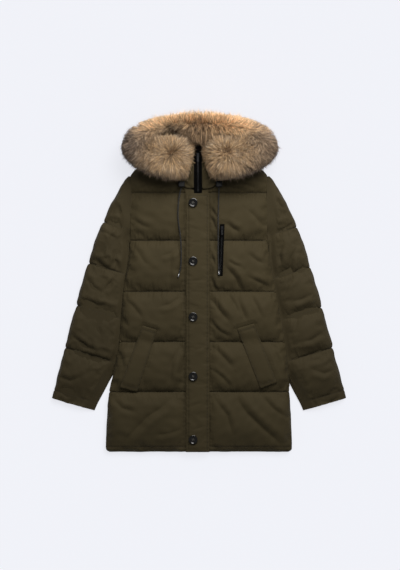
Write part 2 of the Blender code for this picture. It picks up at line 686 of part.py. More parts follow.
def build():
    clear_scene()
    coat = bpy.data.objects.new("coat", None)
    bpy.context.scene.collection.objects.link(coat)

    piece("back", slab(*back_points()), "shell", coat)
    fronts = [piece("front_" + side, slab(*front_points(side)), "shell", coat) for side in ("right", "left")]
    for side in ("right", "left"):
        piece("sleeve_" + side, slab(*sleeve_points(side)), "shell", coat)
    flap = piece("storm_flap", slab(*flap_points()), "shell", coat)
    collar = piece("collar", slab(*collar_points()), "shell", coat)
    piece("hood", slab(*hood_points()), "shell", coat)
    piece("fur_trim", fur_ring(), "fur", coat)
    on_fronts = surface_of(fronts)
    piece("pocket_welt_right", lying_on(on_fronts, WELT_RIGHT, 3, 9, WELT_THICK), "shell", coat)
    piece("pocket_welt_left", lying_on(on_fronts, WELT_LEFT, 3, 9, WELT_THICK), "shell", coat)

    main_zip = piece("main_zip", slab(*main_zip_points()), "zip_tape", coat)
    (tx, ty), (fx, fy) = CHEST_ZIP_TOP, CHEST_ZIP_FOOT
    half = CHEST_ZIP_WIDTH / 2
    corners = ((tx - half, ty), (tx + half, ty), (fx + half, fy), (fx - half, fy))
    chest_zip = piece("chest_zip", lying_on(on_fronts, corners, 2, 10, TAPE_THICK, 5.0, 0.5), "zip_tape", coat)
    chest_x = mix(fx, tx, (CHEST_SLIDER_Y - fy) / (ty - fy))
    main_x = (ZIP_RIGHT_X + ZIP_LEFT_X) / 2
    for prefix, tape, x, y in (("main_zip", main_zip, main_x, MAIN_SLIDER_Y),
                               ("chest_zip", chest_zip, chest_x, CHEST_SLIDER_Y)):
        zip_hardware(prefix, x, y, highest_near(surface_of([tape]), x, y, 5.0) + GAP, coat)

    on_flap = surface_of([flap])
    for k, y in enumerate(BUTTON_Y, 1):
        button(f"button_{k}", (BUTTON_X, y, on_flap(BUTTON_X, y) + GAP), coat)
    on_collar = surface_of(fronts + [collar])
    for side, route in (("right", CORD_RIGHT), ("left", CORD_LEFT)):
        drawcord("drawcord_" + side, route, coat)
        cord_tip("cord_tip_" + side, route, coat)
        x, y, _ = route[0]
        y += LOCK[1] / 2 + GAP
        z = highest_near(on_collar, x, y, LOCK[0] / 2) + GAP + LOCK[2] / 2
        piece("cord_lock_" + side, block(LOCK, (x, y, z), bevel=2.5, segments=2), "lock_plastic", coat)
    centre(coat)


def centre(coat):
    """Stand the coat on the surface with the middle of its box over the origin."""
    bpy.context.view_layer.update()
    graph = bpy.context.evaluated_depsgraph_get()
    corners = []
    for thing in bpy.data.objects:
        if thing.type in ("MESH", "CURVE") and not thing.hide_render:
            shape = thing.evaluated_get(graph).to_mesh()
            corners += [thing.matrix_world @ v.co for v in shape.vertices]
            thing.evaluated_get(graph).to_mesh_clear()
    low = [min(c[i] for c in corners) for i in range(3)]
    high = [max(c[i] for c in corners) for i in range(3)]
    coat.location = (-(low[0] + high[0]) / 2, -(low[1] + high[1]) / 2, -low[2])
    bpy.context.view_layer.update()


build()
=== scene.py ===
"""Looks of a fur trimmed parka that lies on its back with the front up.

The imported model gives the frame: every panel made here follows its CAD solid's outline and height. Places
inside a panel are millimetres from the coat's middle line (x, to the wearer's left) and from its datum line
across the chest (y, towards the hood), as the coat was drafted. "right" and "left" are the wearer's.
"""

import logging
import math
from dataclasses import dataclass, field
from enum import Enum
from typing import Callable, Iterable, Sequence

import bmesh
import bpy
import numpy as np
from mathutils import Matrix, Vector
from mathutils.bvhtree import BVHTree


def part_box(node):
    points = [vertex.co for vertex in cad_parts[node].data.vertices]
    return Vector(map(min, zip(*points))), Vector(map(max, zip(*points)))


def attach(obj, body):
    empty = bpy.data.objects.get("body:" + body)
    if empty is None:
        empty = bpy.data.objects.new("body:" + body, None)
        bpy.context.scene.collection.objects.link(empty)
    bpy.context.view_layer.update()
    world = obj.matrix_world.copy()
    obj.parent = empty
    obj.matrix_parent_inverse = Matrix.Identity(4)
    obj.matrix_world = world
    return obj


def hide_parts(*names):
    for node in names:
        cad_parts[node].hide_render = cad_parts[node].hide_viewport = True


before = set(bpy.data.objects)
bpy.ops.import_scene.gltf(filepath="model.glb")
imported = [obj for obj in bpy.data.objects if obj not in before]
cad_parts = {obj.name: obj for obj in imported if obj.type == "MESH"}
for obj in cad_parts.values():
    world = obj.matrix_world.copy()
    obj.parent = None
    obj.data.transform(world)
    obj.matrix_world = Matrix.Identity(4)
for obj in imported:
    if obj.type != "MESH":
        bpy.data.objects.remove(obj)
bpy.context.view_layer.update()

log = logging.getLogger("parka")

MM = 0.001
Point2 = tuple[float, float]

HEM_Y = -521.0  # the hem on the draft
DATUM_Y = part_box("back")[0].y / MM - HEM_Y  # the draft's datum line in the row frame
QUILT_Y = (287.0, 138.0, -21.0, -178.0, -334.0)
HEM_STITCH_Y = -505.0
STRIP_X = {"right": -46.0, "left": 33.5}  # edges of the flat strip under the storm flap
ARM_ANGLE = math.radians(16.5)
SLEEVE_QUILT = {"right": (-104.0, 33.0, 170.0, 307.0), "left": (-86.0, 46.0, 177.0, 307.0)}
CUFF_STITCH = 444.0
SIGN = {"right": -1.0, "left": 1.0}


# ---------------------------------------------------------------- small sums

def smoothstep(low: float, high: float, value: np.ndarray | float) -> np.ndarray:
    """0 below low, 1 above high, and smooth between."""
    share = np.clip((np.asarray(value, float) - low) / (high - low), 0.0, 1.0)
    return share * share * (3 - 2 * share)


def place(x: float, y: float, z: float = 0.0) -> Vector:
    """A point of the draft, in millimetres, as metres in the row frame."""
    return Vector((x * MM, (y + DATUM_Y) * MM, z * MM))


def polyline_reach(points: Sequence[Point2], xy: np.ndarray) -> tuple[np.ndarray, np.ndarray, np.ndarray]:
    """Measure points against a polyline.

    Args:
        points: the polyline on the draft.
        xy: N by 2 places on the draft.

    Returns:
        Each place's distance from the line, its share of the way along, and which side it is on.
    """
    line = np.asarray(points, float)
    steps = np.diff(line, axis=0)
    lengths = np.maximum(np.hypot(*steps.T), 1e-9)
    starts = np.concatenate([[0], np.cumsum(lengths)])
    best = np.full(len(xy), 1e9)
    share, side = np.zeros(len(xy)), np.zeros(len(xy))
    for start, step, length, before in zip(line, steps, lengths, starts):
        away = xy - start
        along = np.clip(away @ step / length**2, 0, 1)
        rest = away - along[:, None] * step
        distance = np.hypot(*rest.T)
        nearer = distance < best
        best[nearer] = distance[nearer]
        share[nearer] = ((before + along * length) / starts[-1])[nearer]
        side[nearer] = np.sign(step[0] * away[:, 1] - step[1] * away[:, 0])[nearer]
    return best, share, side


def wander(xy: np.ndarray, size: float, seed: int) -> np.ndarray:
    """Smooth unevenness over the draft, about -1 to 1, whose features are about size millimetres."""
    draw = np.random.default_rng(seed)
    total = np.zeros(len(xy))
    for _ in range(7):
        angle, phase = draw.uniform(0, 2 * math.pi, 2)
        pitch = 2 * math.pi / (size * draw.uniform(0.75, 1.6))
        total += np.sin(pitch * (xy[:, 0] * math.cos(angle) + xy[:, 1] * math.sin(angle)) + phase)
    return total / 3.2


# ---------------------------------------------------------------- shaders

class Value:
    """A shader socket that takes part in Python sums, adding the Math nodes that they need."""

    def __init__(self, graph: "Graph", socket: bpy.types.NodeSocket) -> None:
        """Wrap a socket of a graph."""
        self.graph, self.socket = graph, socket

    def _math(self, operation: str, *others: "Value | float") -> "Value":
        """Add a Math node with this value first."""
        inputs = dict(enumerate((self, *others)))
        return self.graph.value("ShaderNodeMath", {"operation": operation}, inputs)

    def __add__(self, other: "Value | float") -> "Value":
        """Sum."""
        return self._math("ADD", other)

    __radd__ = __add__

    def __sub__(self, other: "Value | float") -> "Value":
        """Difference."""
        return self._math("SUBTRACT", other)

    def __rsub__(self, other: float) -> "Value":
        """Number less this value."""
        return self._math("MULTIPLY", -1.0)._math("ADD", other)

    def __mul__(self, other: "Value | float") -> "Value":
        """Product."""
        return self._math("MULTIPLY", other)

    __rmul__ = __mul__

    def __pow__(self, other: float) -> "Value":
        """Power."""
        return self._math("POWER", other)


class Graph:
    """A material's nodes."""

    def __init__(self, name: str) -> None:
        """Make a material with one Principled BSDF."""
        self.material = bpy.data.materials.new(name)
        self.material.use_nodes = True
        self.tree = self.material.node_tree
        self.shader = self.tree.nodes["Principled BSDF"]

    def node(self, kind: str, settings: dict | None = None, inputs: dict | None = None) -> bpy.types.Node:
        """Add a node.

        Args:
            kind: the node's type.
            settings: its own properties; "stops" sets a ramp's stops.
            inputs: numbers, colours or Values by socket name or number.

        Returns:
            The node.
        """
        made = self.tree.nodes.new(kind)
        for name, setting in (settings or {}).items():
            if name == "stops":
                self._stops(made.color_ramp, setting)
            else:
                setattr(made, name, setting)
        for name, given in (inputs or {}).items():
            self.feed(made.inputs[name], given)
        return made

    def _stops(self, ramp: bpy.types.ColorRamp, stops: Sequence[tuple[float, tuple]]) -> None:
        """Set a ramp's stops as (place, colour)."""
        while len(ramp.elements) < len(stops):
            ramp.elements.new(1.0)
        for element, (at, colour) in zip(ramp.elements, stops):
            element.position = at
            element.color = (*colour, 1.0)

    def feed(self, socket: bpy.types.NodeSocket, given: "Value | float | Sequence[float]") -> None:
        """Link a Value to a socket, or set the socket's own number or colour."""
        if isinstance(given, Value):
            self.tree.links.new(given.socket, socket)
        elif isinstance(given, (tuple, list)) and len(given) == 3 and len(socket.default_value) == 4:
            socket.default_value = (*given, 1.0)
        else:
            socket.default_value = given

    def value(self, kind: str, settings: dict | None = None, inputs: dict | None = None,
              output: str | int = 0) -> Value:
        """Add a node and give one of its outputs."""
        return Value(self, self.node(kind, settings, inputs).outputs[output])

    def coordinates(self, scale: Sequence[float] = (1, 1, 1), turn: float = 0.0) -> Value:
        """Object coordinates, scaled, and turned about Z."""
        place_of = self.value("ShaderNodeTexCoord", output="Object")
        return self.value("ShaderNodeMapping", {}, {"Vector": place_of, "Scale": tuple(scale),
                                                    "Rotation": (0.0, 0.0, turn)})

    def noise(self, scale: float, detail: float = 3.0, vector: Value | None = None) -> Value:
        """Noise about 0 to 1."""
        where = vector if vector is not None else self.coordinates()
        return self.value("ShaderNodeTexNoise", {}, {"Vector": where, "Scale": scale, "Detail": detail})

    def blend(self, factor: "Value | float", a: "Value | tuple", b: "Value | tuple",
              how: str = "MIX") -> Value:
        """Mix two colours."""
        made = self.node("ShaderNodeMix", {"data_type": "RGBA", "blend_type": how})
        for socket, given in zip((made.inputs[0], made.inputs[6], made.inputs[7]), (factor, a, b)):
            self.feed(socket, given)
        return Value(self, made.outputs[2])

    def attribute(self, name: str, output: str = "Fac") -> Value:
        """A named attribute of the mesh."""
        return self.value("ShaderNodeAttribute", {"attribute_name": name}, output=output)

    def finish(self, colour: "Value | tuple", roughness: "Value | float", height: Value | None = None,
               depth: float = 0.0001, **steady: float) -> bpy.types.Material:
        """Feed the shader.

        Args:
            colour: base colour.
            roughness: roughness.
            height: a bump's height, 0 to 1.
            depth: the bump's depth in metres.
            steady: sockets that are one number all over, by name with _ for a space.

        Returns:
            The material.
        """
        self.feed(self.shader.inputs["Base Color"], colour)
        self.feed(self.shader.inputs["Roughness"], roughness)
        if height is not None:
            bump = self.value("ShaderNodeBump", {}, {"Height": height, "Distance": depth, "Strength": 1.0})
            self.feed(self.shader.inputs["Normal"], bump)
        for name, number in steady.items():
            self.feed(self.shader.inputs[name.replace("_", " ")], number)
        return self.material


@dataclass(frozen=True)
class ShellCloth:
    """Matt olive cloth with a fine close weave, darkened along its sewing by painted shade."""

    name: str = "olive shell cloth"
    colour: tuple[float, float, float] = (0.062, 0.0480, 0.0226)
    thread_mm: float = 0.55
    turn: float = 0.0

    def material(self) -> bpy.types.Material:
        """Make the cloth."""
        g = Graph(self.name)
        across = g.coordinates((1 / MM,) * 3, self.turn)
        threads = [
            g.value("ShaderNodeTexWave", {"bands_direction": way, "wave_profile": "SIN"},
                    {"Vector": across, "Scale": 0.314 / self.thread_mm, "Distortion": 0.6, "Detail": 1.0}, 1)
            for way in ("X", "Y")
        ]
        weave = threads[0] * 0.5 + threads[1] * 0.5
        cloudy = g.noise(9.0, 2.0)
        nap = g.noise(420.0, 4.0)
        seam = g.attribute("seam")
        dark = tuple(c * 0.80 for c in self.colour)
        pale = tuple(c * 1.22 for c in self.colour)
        colour = g.blend(cloudy * 0.75 + nap * 0.25, dark, pale)
        # painted shade: the cloth is darkened near every line of sewing, where the padding dips
        colour = g.blend(seam * 0.35, colour, tuple(c * 0.42 for c in self.colour))
        colour = g.blend(weave * 0.16, colour, tuple(c * 0.55 for c in self.colour))
        height = weave * 0.6 + nap * 0.4
        return g.finish(colour, nap * 0.10 + 0.70, height, 0.00012, Sheen_Weight=0.03, Sheen_Roughness=0.5,
                        Specular_IOR_Level=0.14)


@dataclass(frozen=True)
class Thread:
    """Sewing thread, a shade from the cloth."""

    name: str = "olive thread"
    colour: tuple[float, float, float] = (0.034, 0.028, 0.016)

    def material(self) -> bpy.types.Material:
        """Make the thread."""
        g = Graph(self.name)
        twist = g.noise(2600.0, 2.0)
        colour = g.blend(twist, tuple(c * 0.7 for c in self.colour), tuple(c * 1.35 for c in self.colour))
        return g.finish(colour, 0.6, twist, 0.0001, Sheen_Weight=0.1)


@dataclass(frozen=True)
class Hair:
    """Long imitation fur, coloured hair by hair from root to tip."""

    name: str = "fur hair"

    def material(self) -> bpy.types.Material:
        """Make the hair."""
        g = Graph(self.name)
        tint = g.attribute("tint", "Color")
        return g.finish(tint, 0.62, None, Sheen_Weight=0.15, Sheen_Roughness=0.4, Specular_IOR_Level=0.25)


@dataclass(frozen=True)
class UnderFur:
    """The dense woolly ground that the long hairs grow from."""

    name: str = "under fur"
    dark: tuple[float, float, float] = (0.075, 0.036, 0.018)
    pale: tuple[float, float, float] = (0.30, 0.17, 0.085)

    def material(self) -> bpy.types.Material:
        """Make the ground."""
        g = Graph(self.name)
        tufts = g.noise(95.0, 6.0)
        clouds = g.noise(16.0, 2.0)
        colour = g.blend(tufts * 0.6 + clouds * 0.4, self.dark, self.pale)
        return g.finish(colour, 0.9, tufts, 0.004, Sheen_Weight=0.2)


@dataclass(frozen=True)
class Tape:
    """Black woven zip tape."""

    name: str = "zip tape"
    colour: tuple[float, float, float] = (0.0015, 0.0014, 0.0013)

    def material(self) -> bpy.types.Material:
        """Make the tape."""
        g = Graph(self.name)
        rib = g.value("ShaderNodeTexWave", {"bands_direction": "Y"},
                      {"Vector": g.coordinates((1 / MM,) * 3), "Scale": 0.4, "Distortion": 0.3}, 1)
        speck = g.noise(900.0)
        colour = g.blend(rib * 0.5 + speck * 0.5, self.colour, tuple(c * 2.6 for c in self.colour))
        return g.finish(colour, 0.85, rib, 0.00015, Specular_IOR_Level=0.06)


@dataclass(frozen=True)
class Metal:
    """A plated metal with fine wear."""

    name: str
    colour: tuple[float, float, float]
    worn: tuple[float, float, float]
    roughness: float

    def material(self) -> bpy.types.Material:
        """Make the metal."""
        g = Graph(self.name)
        scuffs = g.noise(700.0, 5.0) ** 3
        clouds = g.noise(160.0, 2.0)
        colour = g.blend(scuffs * 0.9, self.colour, self.worn)
        return g.finish(colour, clouds * 0.16 + self.roughness, scuffs, 0.00004, Metallic=1.0)


@dataclass(frozen=True)
class ButtonResin:
    """Polished dark brown resin, cloudy like horn."""

    name: str = "button resin"
    dark: tuple[float, float, float] = (0.0018, 0.0015, 0.0013)
    pale: tuple[float, float, float] = (0.0080, 0.0056, 0.0044)

    def material(self) -> bpy.types.Material:
        """Make the resin."""
        g = Graph(self.name)
        streaks = g.noise(110.0, 5.0, g.coordinates((1.0, 2.4, 1.0), 0.5))
        colour = g.blend(streaks ** 2, self.dark, self.pale)
        return g.finish(colour, g.noise(300.0) * 0.10 + 0.10, None, Coat_Weight=0.6, Coat_Roughness=0.06)


@dataclass(frozen=True)
class Plastic:
    """Black moulded plastic with a fine spark texture."""

    name: str = "lock plastic"
    colour: tuple[float, float, float] = (0.0035, 0.0035, 0.0037)

    def material(self) -> bpy.types.Material:
        """Make the plastic."""
        g = Graph(self.name)
        spark = g.noise(1500.0, 3.0)
        colour = g.blend(spark, self.colour, tuple(c * 2.0 for c in self.colour))
        return g.finish(colour, spark * 0.15 + 0.34, spark, 0.00006, Specular_IOR_Level=0.3)


@dataclass(frozen=True)
class Braid:
    """Dark braided cord; the braid follows the cord's own length."""

    name: str = "cord braid"
    colour: tuple[float, float, float] = (0.0085, 0.0070, 0.0052)

    def material(self) -> bpy.types.Material:
        """Make the braid."""
        g = Graph(self.name)
        where = g.coordinates((1 / MM,) * 3)
        plaits = [
            g.value("ShaderNodeTexWave", {"bands_direction": "DIAGONAL"},
                    {"Vector": g.value("ShaderNodeMapping", {}, {"Vector": where, "Scale": (way, 1.0, 1.0)}),
                     "Scale": 0.16, "Distortion": 0.4}, 1)
            for way in (1.0, -1.0)
        ]
        plait = plaits[0] * plaits[1]
        colour = g.blend(plait, tuple(c * 0.45 for c in self.colour), tuple(c * 1.9 for c in self.colour))
        return g.finish(colour, 0.66, plait, 0.0005, Sheen_Weight=0.15)


@dataclass(frozen=True)
class Lining:
    """Dark brown napped lining, seen only deep in the hood."""

    name: str = "hood lining"
    colour: tuple[float, float, float] = (0.035, 0.022, 0.014)

    def material(self) -> bpy.types.Material:
        """Make the lining."""
        g = Graph(self.name)
        nap = g.noise(240.0, 5.0)
        colour = g.blend(nap, tuple(c * 0.6 for c in self.colour), tuple(c * 1.5 for c in self.colour))
        return g.finish(colour, 0.85, nap, 0.0008, Sheen_Weight=0.1)


class Palette:
    """Every finish, made once."""

    def __init__(self) -> None:
        """Make the materials."""
        self.shell = ShellCloth().material()
        # painted shade: the sleeves get the shell cloth in a darker colour
        self.sleeve = {
            "right": ShellCloth("right sleeve cloth with painted shade", turn=-ARM_ANGLE, colour=(0.055, 0.0425,
                0.0203)).material(),
            "left": ShellCloth("left sleeve cloth with painted shade", turn=ARM_ANGLE, colour=(0.055, 0.0425,
                0.0203)).material(),
        }
        self.thread = Thread().material()
        self.button_thread = Thread("button thread", (0.10, 0.095, 0.085)).material()
        self.hair = Hair().material()
        self.under_fur = UnderFur().material()
        self.tape = Tape().material()
        self.black_metal = Metal("black nickel", (0.012, 0.012, 0.0125), (0.16, 0.16, 0.165), 0.34).material()
        self.bright_metal = Metal("bright tip metal", (0.52, 0.52, 0.53), (0.80, 0.80, 0.80), 0.20).material()
        self.resin = ButtonResin().material()
        self.plastic = Plastic().material()
        self.braid = Braid().material()
        self.lining = Lining().material()


# ---------------------------------------------------------------- making and dressing meshes

def add_piece(name: str, bm: bmesh.types.BMesh, finish: bpy.types.Material,
              nodes: Iterable[str] = (), body: str = "coat", sharp: float = 60.0) -> bpy.types.Object:
    """Put a finished bmesh into the scene.

    Args:
        name: the piece's name.
        bm: its shape in the row frame; it is freed.
        finish: its material.
        nodes: CAD nodes that it stands for.
        body: the CAD body that it rides on.
        sharp: edges sharper than this many degrees stay crisp.

    Returns:
        The object.
    """
    mesh = bpy.data.meshes.new(name)
    bm.to_mesh(mesh)
    bm.free()
    mesh.materials.append(finish)
    mesh.shade_smooth()
    mesh.set_sharp_from_angle(angle=math.radians(sharp))
    made = bpy.data.objects.new(name, mesh)
    bpy.context.scene.collection.objects.link(made)
    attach(made, body)
    if nodes:
        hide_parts(*nodes)
    log.info("%s: %d faces", name, len(mesh.polygons))
    return made


def mark(obj: bpy.types.Object, name: str, numbers: np.ndarray) -> None:
    """Give a mesh one number a vertex, as a named attribute."""
    layer = obj.data.attributes.new(name, "FLOAT", "POINT")
    layer.data.foreach_set("value", np.asarray(numbers, np.float32))


def drape_grid(points: np.ndarray) -> bmesh.types.BMesh:
    """A sheet of faces through rows of points, rows by columns by 3."""
    rows, columns = points.shape[:2]
    bm = bmesh.new()
    bmesh.ops.create_grid(bm, x_segments=columns - 1, y_segments=rows - 1, size=1.0)
    for vert, co in zip(bm.verts, points.reshape(-1, 3)):
        vert.co = co
    return bm


def repeated(template: bmesh.types.BMesh, matrices: Sequence[Matrix]) -> bmesh.types.BMesh:
    """Copies of a small shape, joined into one bmesh."""
    seed = bpy.data.meshes.new("template")
    template.to_mesh(seed)
    template.free()
    corners = np.array([v.co for v in seed.vertices])
    faces = [np.array(p.vertices) for p in seed.polygons]
    places = np.array([np.array(m) for m in matrices])
    moved = np.einsum("nij,vj->nvi", places[:, :3, :3], corners) + places[:, None, :3, 3]
    count = len(corners)
    mesh = bpy.data.meshes.new("copies")
    mesh.from_pydata(moved.reshape(-1, 3).tolist(), [],
                     [(face + k * count).tolist() for k in range(len(matrices)) for face in faces])
    bm = bmesh.new()
    bm.from_mesh(mesh)
    bpy.data.meshes.remove(mesh)
    bpy.data.meshes.remove(seed)
    return bm


def turned_shape(profile: Sequence[Point2], segments: int) -> bmesh.types.BMesh:
    """A shape turned about Z from (radius, height) in millimetres, starting and ending on the axis."""
    bm = bmesh.new()
    verts = [bm.verts.new((r * MM, 0, z * MM)) for r, z in profile]
    edges = [bm.edges.new(pair) for pair in zip(verts, verts[1:])]
    bmesh.ops.spin(bm, geom=verts + edges, cent=(0, 0, 0), axis=(0, 0, 1), angle=2 * math.pi, steps=segments,
                   use_merge=True)
    bmesh.ops.remove_doubles(bm, verts=bm.verts, dist=1e-6)
    bmesh.ops.recalc_face_normals(bm, faces=bm.faces)
    return bm


def join(shapes: Sequence[bmesh.types.BMesh]) -> bmesh.types.BMesh:
    """Several bmeshes as one; the others are freed."""
    first = shapes[0]
    for shape in shapes[1:]:
        mesh = bpy.data.meshes.new("joined")
        shape.to_mesh(mesh)
        shape.free()
        first.from_mesh(mesh)
        bpy.data.meshes.remove(mesh)
    return first


class Surface:
    """The highest and lowest points of a mesh over places on the draft."""

    def __init__(self, *objects: bpy.types.Object) -> None:
        """Read some objects' meshes."""
        self.trees, self.points, self.edges = [], [], []
        for obj in objects:
            bm = bmesh.new()
            bm.from_mesh(obj.data)
            bmesh.ops.remove_doubles(bm, verts=bm.verts, dist=1e-6)
            self.trees.append(BVHTree.FromBMesh(bm))
            bm.verts.index_update()
            self.points.append(np.array([v.co for v in bm.verts]) / MM - (0, DATUM_Y, 0))
            self.edges.append(np.array([[v.index for v in e.verts] for e in bm.edges]))
            bm.free()

    def top(self, x: float, y: float) -> float:
        """Highest point over a place, in millimetres, or nan where there is none."""
        return self._hit(x, y, 1.0, -1.0, max)

    def under(self, x: float, y: float) -> float:
        """Lowest point over a place, in millimetres."""
        return self._hit(x, y, -1.0, 1.0, min)

    def _hit(self, x: float, y: float, start: float, way: float, pick: Callable) -> float:
        """Cast a ray up or down."""
        hits = [tree.ray_cast(place(x, y) + Vector((0, 0, start)), Vector((0, 0,
            way)))[0] for tree in self.trees]
        return pick((hit.z / MM for hit in hits if hit is not None), default=math.nan)

    def span(self, angle: float, station: float) -> tuple[float, float]:
        """Where the mesh starts and ends across a row.

        Args:
            angle: the row's turn from straight across the coat, in radians; the mesh is on one side of the coat.
            station: the row's distance along.

        Returns:
            The least and most place across.
        """
        points, edges = self.points[0], self.edges[0]
        along = points[:, 0] * math.sin(angle) + points[:, 1] * math.cos(angle)
        across = points[:, 0] * math.cos(angle) - points[:, 1] * math.sin(angle)
        station = min(max(station, along.min() + 0.01), along.max() - 0.01)
        a, b = edges.T
        crossing = (along[a] - station) * (along[b] - station) <= 0
        a, b = a[crossing], b[crossing]
        step = along[b] - along[a]
        share = np.where(np.abs(step) > 1e-9, (station - along[a]) / np.where(step == 0, 1, step), 0.5)
        where = across[a] + np.clip(share, 0, 1) * (across[b] - across[a])
        return float(where.min()), float(where.max())


# ---------------------------------------------------------------- padded cloth

class Sewing(Enum):
    """How a line of sewing shows."""

    QUILTED = "quilted"  # pulls the padding right down
    TOPSTITCHED = "topstitched"  # lies a little way in from an edge
    JOINED = "joined"  # a seam with no thread on its face


@dataclass(frozen=True)
class Seam:
    """A line of sewing on the draft, in millimetres."""

    points: tuple[Point2, ...]
    kind: Sewing = Sewing.QUILTED

    def dip(self, xy: np.ndarray, seed: int) -> tuple[np.ndarray, np.ndarray]:
        """How the sewing shapes the cloth.

        Args:
            xy: places on the draft.
            seed: for the puckers.

        Returns:
            The height that it adds in millimetres, and how near the sewing is, 0 to 1.
        """
        distance, share, _ = polyline_reach(self.points, xy)
        length = sum(math.dist(a, b) for a, b in zip(self.points, self.points[1:]))
        run = share * length
        draw = np.random.default_rng(seed)
        pucker = np.zeros(len(xy))
        for pitch in (9.0, 13.0, 21.0, 34.0):
            phase, skew = draw.uniform(0, 6.28), draw.uniform(-0.5, 0.5)
            pucker += np.sin(2 * math.pi * (run + skew * distance) / (pitch * draw.uniform(0.9, 1.1)) + phase)
        if self.kind is Sewing.QUILTED:
            height = -2.6 * np.exp(-(distance / 2.2) ** 2) - 3.4 * np.exp(-distance / 11.0)
            height += 0.62 * pucker * np.exp(-distance / 15.0) * (1 - np.exp(-distance / 3.0))
        elif self.kind is Sewing.TOPSTITCHED:
            height = -1.5 * np.exp(-(distance / 2.2) ** 2) + 0.22 * pucker * np.exp(-distance / 7.0)
        else:
            height = -1.8 * np.exp(-(distance / 1.6) ** 2) + 0.35 * pucker * np.exp(-distance / 9.0)
        return height, np.exp(-(distance / 2.4) ** 2)


@dataclass(frozen=True)
class Crease:
    """A fold: a trough with a bank beside it, fading at both ends."""

    points: tuple[Point2, ...]
    depth: float = 3.5
    width: float = 9.0
    bank: float = 0.7  # the bank's height as a share of the depth; its side is the line's left

    def relief(self, xy: np.ndarray) -> np.ndarray:
        """Height that the fold adds, in millimetres."""
        distance, share, side = polyline_reach(self.points, xy)
        fade = np.sin(np.pi * np.clip(share, 0.02, 0.98)) ** 0.6
        offset = distance * side / self.width
        trough = -np.exp(-np.abs(offset * 1.6) ** 1.35)
        bank = self.bank * np.exp(-((offset - 1.35) / 0.85) ** 2)
        return self.depth * fade * (trough + bank)


def graded(width: float, step: float, soft_start: float, soft_end: float) -> list[float]:
    """Shares across a width that lie closer together where an edge is rolled.

    Args:
        width: the whole width.
        step: the usual distance between places.
        soft_start: length of the roll at the start.
        soft_end: length of the roll at the end.

    Returns:
        Rising shares from 0 to 1.
    """
    def roll(length: float) -> list[float]:
        count = max(3, round(1.25 * length / step))
        return [length * (1 - math.cos(math.pi / 2 * k / count)) for k in range(count)]

    start = roll(soft_start) if soft_start else []
    end = [width - place for place in reversed(roll(soft_end))] if soft_end else []
    middle = max(2, round((width - soft_start - soft_end) / step))
    flat = [soft_start + (width - soft_start - soft_end) * k / middle for k in range(middle + 1)]
    places = start + [p for p in flat if not start or p >= soft_start] \
        + [p for p in end if p > flat[-1] + 1e-6]
    return [place / width for place in places]


def stations(start: float, end: float, lines: Sequence[float], step: float) -> list[float]:
    """Rows from start to end, with one on every line between."""
    stops = [start] + sorted(line for line in lines if start < line < end) + [end]
    rows = [start]
    for a, b in zip(stops, stops[1:]):
        count = max(1, round((b - a) / step))
        rows += [a + (b - a) * k / count for k in range(1, count + 1)]
    return rows


def relax(bm: bmesh.types.BMesh, hold: np.ndarray, cap: float, pressure: float, shrink: float = -0.03,
          floor: float | None = None) -> None:
    """Let a skin swell as padded cloth does, by a cloth simulation.

    Args:
        bm: the skin; its vertices are moved.
        hold: how firmly each vertex is held, 0 to 1.
        cap: furthest that a vertex may move, in metres.
        pressure: pressure inside.
        shrink: how much longer the cloth is than its place, as a negative share.
        floor: height that the cloth can't go below.
    """
    mesh = bpy.data.meshes.new("swelling")
    bm.to_mesh(mesh)
    skin = bpy.data.objects.new("swelling", mesh)
    bpy.context.scene.collection.objects.link(skin)
    group = skin.vertex_groups.new(name="hold")
    for level in sorted(set(np.round(hold, 2))):
        group.add([int(k) for k in np.flatnonzero(np.round(hold, 2) == level)], float(level), "REPLACE")
    cloth = skin.modifiers.new("cloth", "CLOTH")
    settings = cloth.settings
    settings.quality = 4
    settings.mass = 0.35
    settings.tension_stiffness = settings.compression_stiffness = 12.0
    settings.shear_stiffness = 6.0
    settings.bending_stiffness = 0.25
    settings.vertex_group_mass = "hold"
    settings.pin_stiffness = 1.0
    settings.shrink_min = shrink
    settings.use_pressure = True
    settings.uniform_pressure_force = pressure
    settings.effector_weights.gravity = 0.0
    cloth.collision_settings.use_collision = False
    cloth.point_cache.frame_start, cloth.point_cache.frame_end = 1, 20
    scene = bpy.context.scene
    for step in range(1, 21):
        scene.frame_set(step)
    graph = bpy.context.evaluated_depsgraph_get()
    settled = skin.evaluated_get(graph).data
    before = np.array([v.co for v in mesh.vertices])
    after = np.empty(len(before) * 3)
    settled.vertices.foreach_get("co", after)
    move = after.reshape(-1, 3) - before
    far = np.linalg.norm(move, axis=1)
    move *= (cap * np.tanh(far / cap) / np.maximum(far, 1e-9))[:, None]
    move *= (1 - hold)[:, None]
    for vert, co in zip(bm.verts, before + move):
        vert.co = co if floor is None or co[2] > floor else (co[0], co[1], floor)
    bpy.data.objects.remove(skin)
    bpy.data.meshes.remove(mesh)
    scene.frame_set(1)
    log.info("cloth settled: %d points, furthest %.1f mm", len(before), 1000 * float(far.max()))


def finer(bm: bmesh.types.BMesh) -> bmesh.types.BMesh:
    """One smooth subdivision of a skin."""
    mesh = bpy.data.meshes.new("coarse")
    bm.to_mesh(mesh)
    bm.free()
    skin = bpy.data.objects.new("coarse", mesh)
    bpy.context.scene.collection.objects.link(skin)
    surface = skin.modifiers.new("finer", "SUBSURF")
    surface.levels = surface.render_levels = 1
    surface.boundary_smooth = "PRESERVE_CORNERS"
    graph = bpy.context.evaluated_depsgraph_get()
    fine = bmesh.new()
    fine.from_mesh(skin.evaluated_get(graph).to_mesh())
    bpy.data.objects.remove(skin)
    bpy.data.meshes.remove(mesh)
    return fine


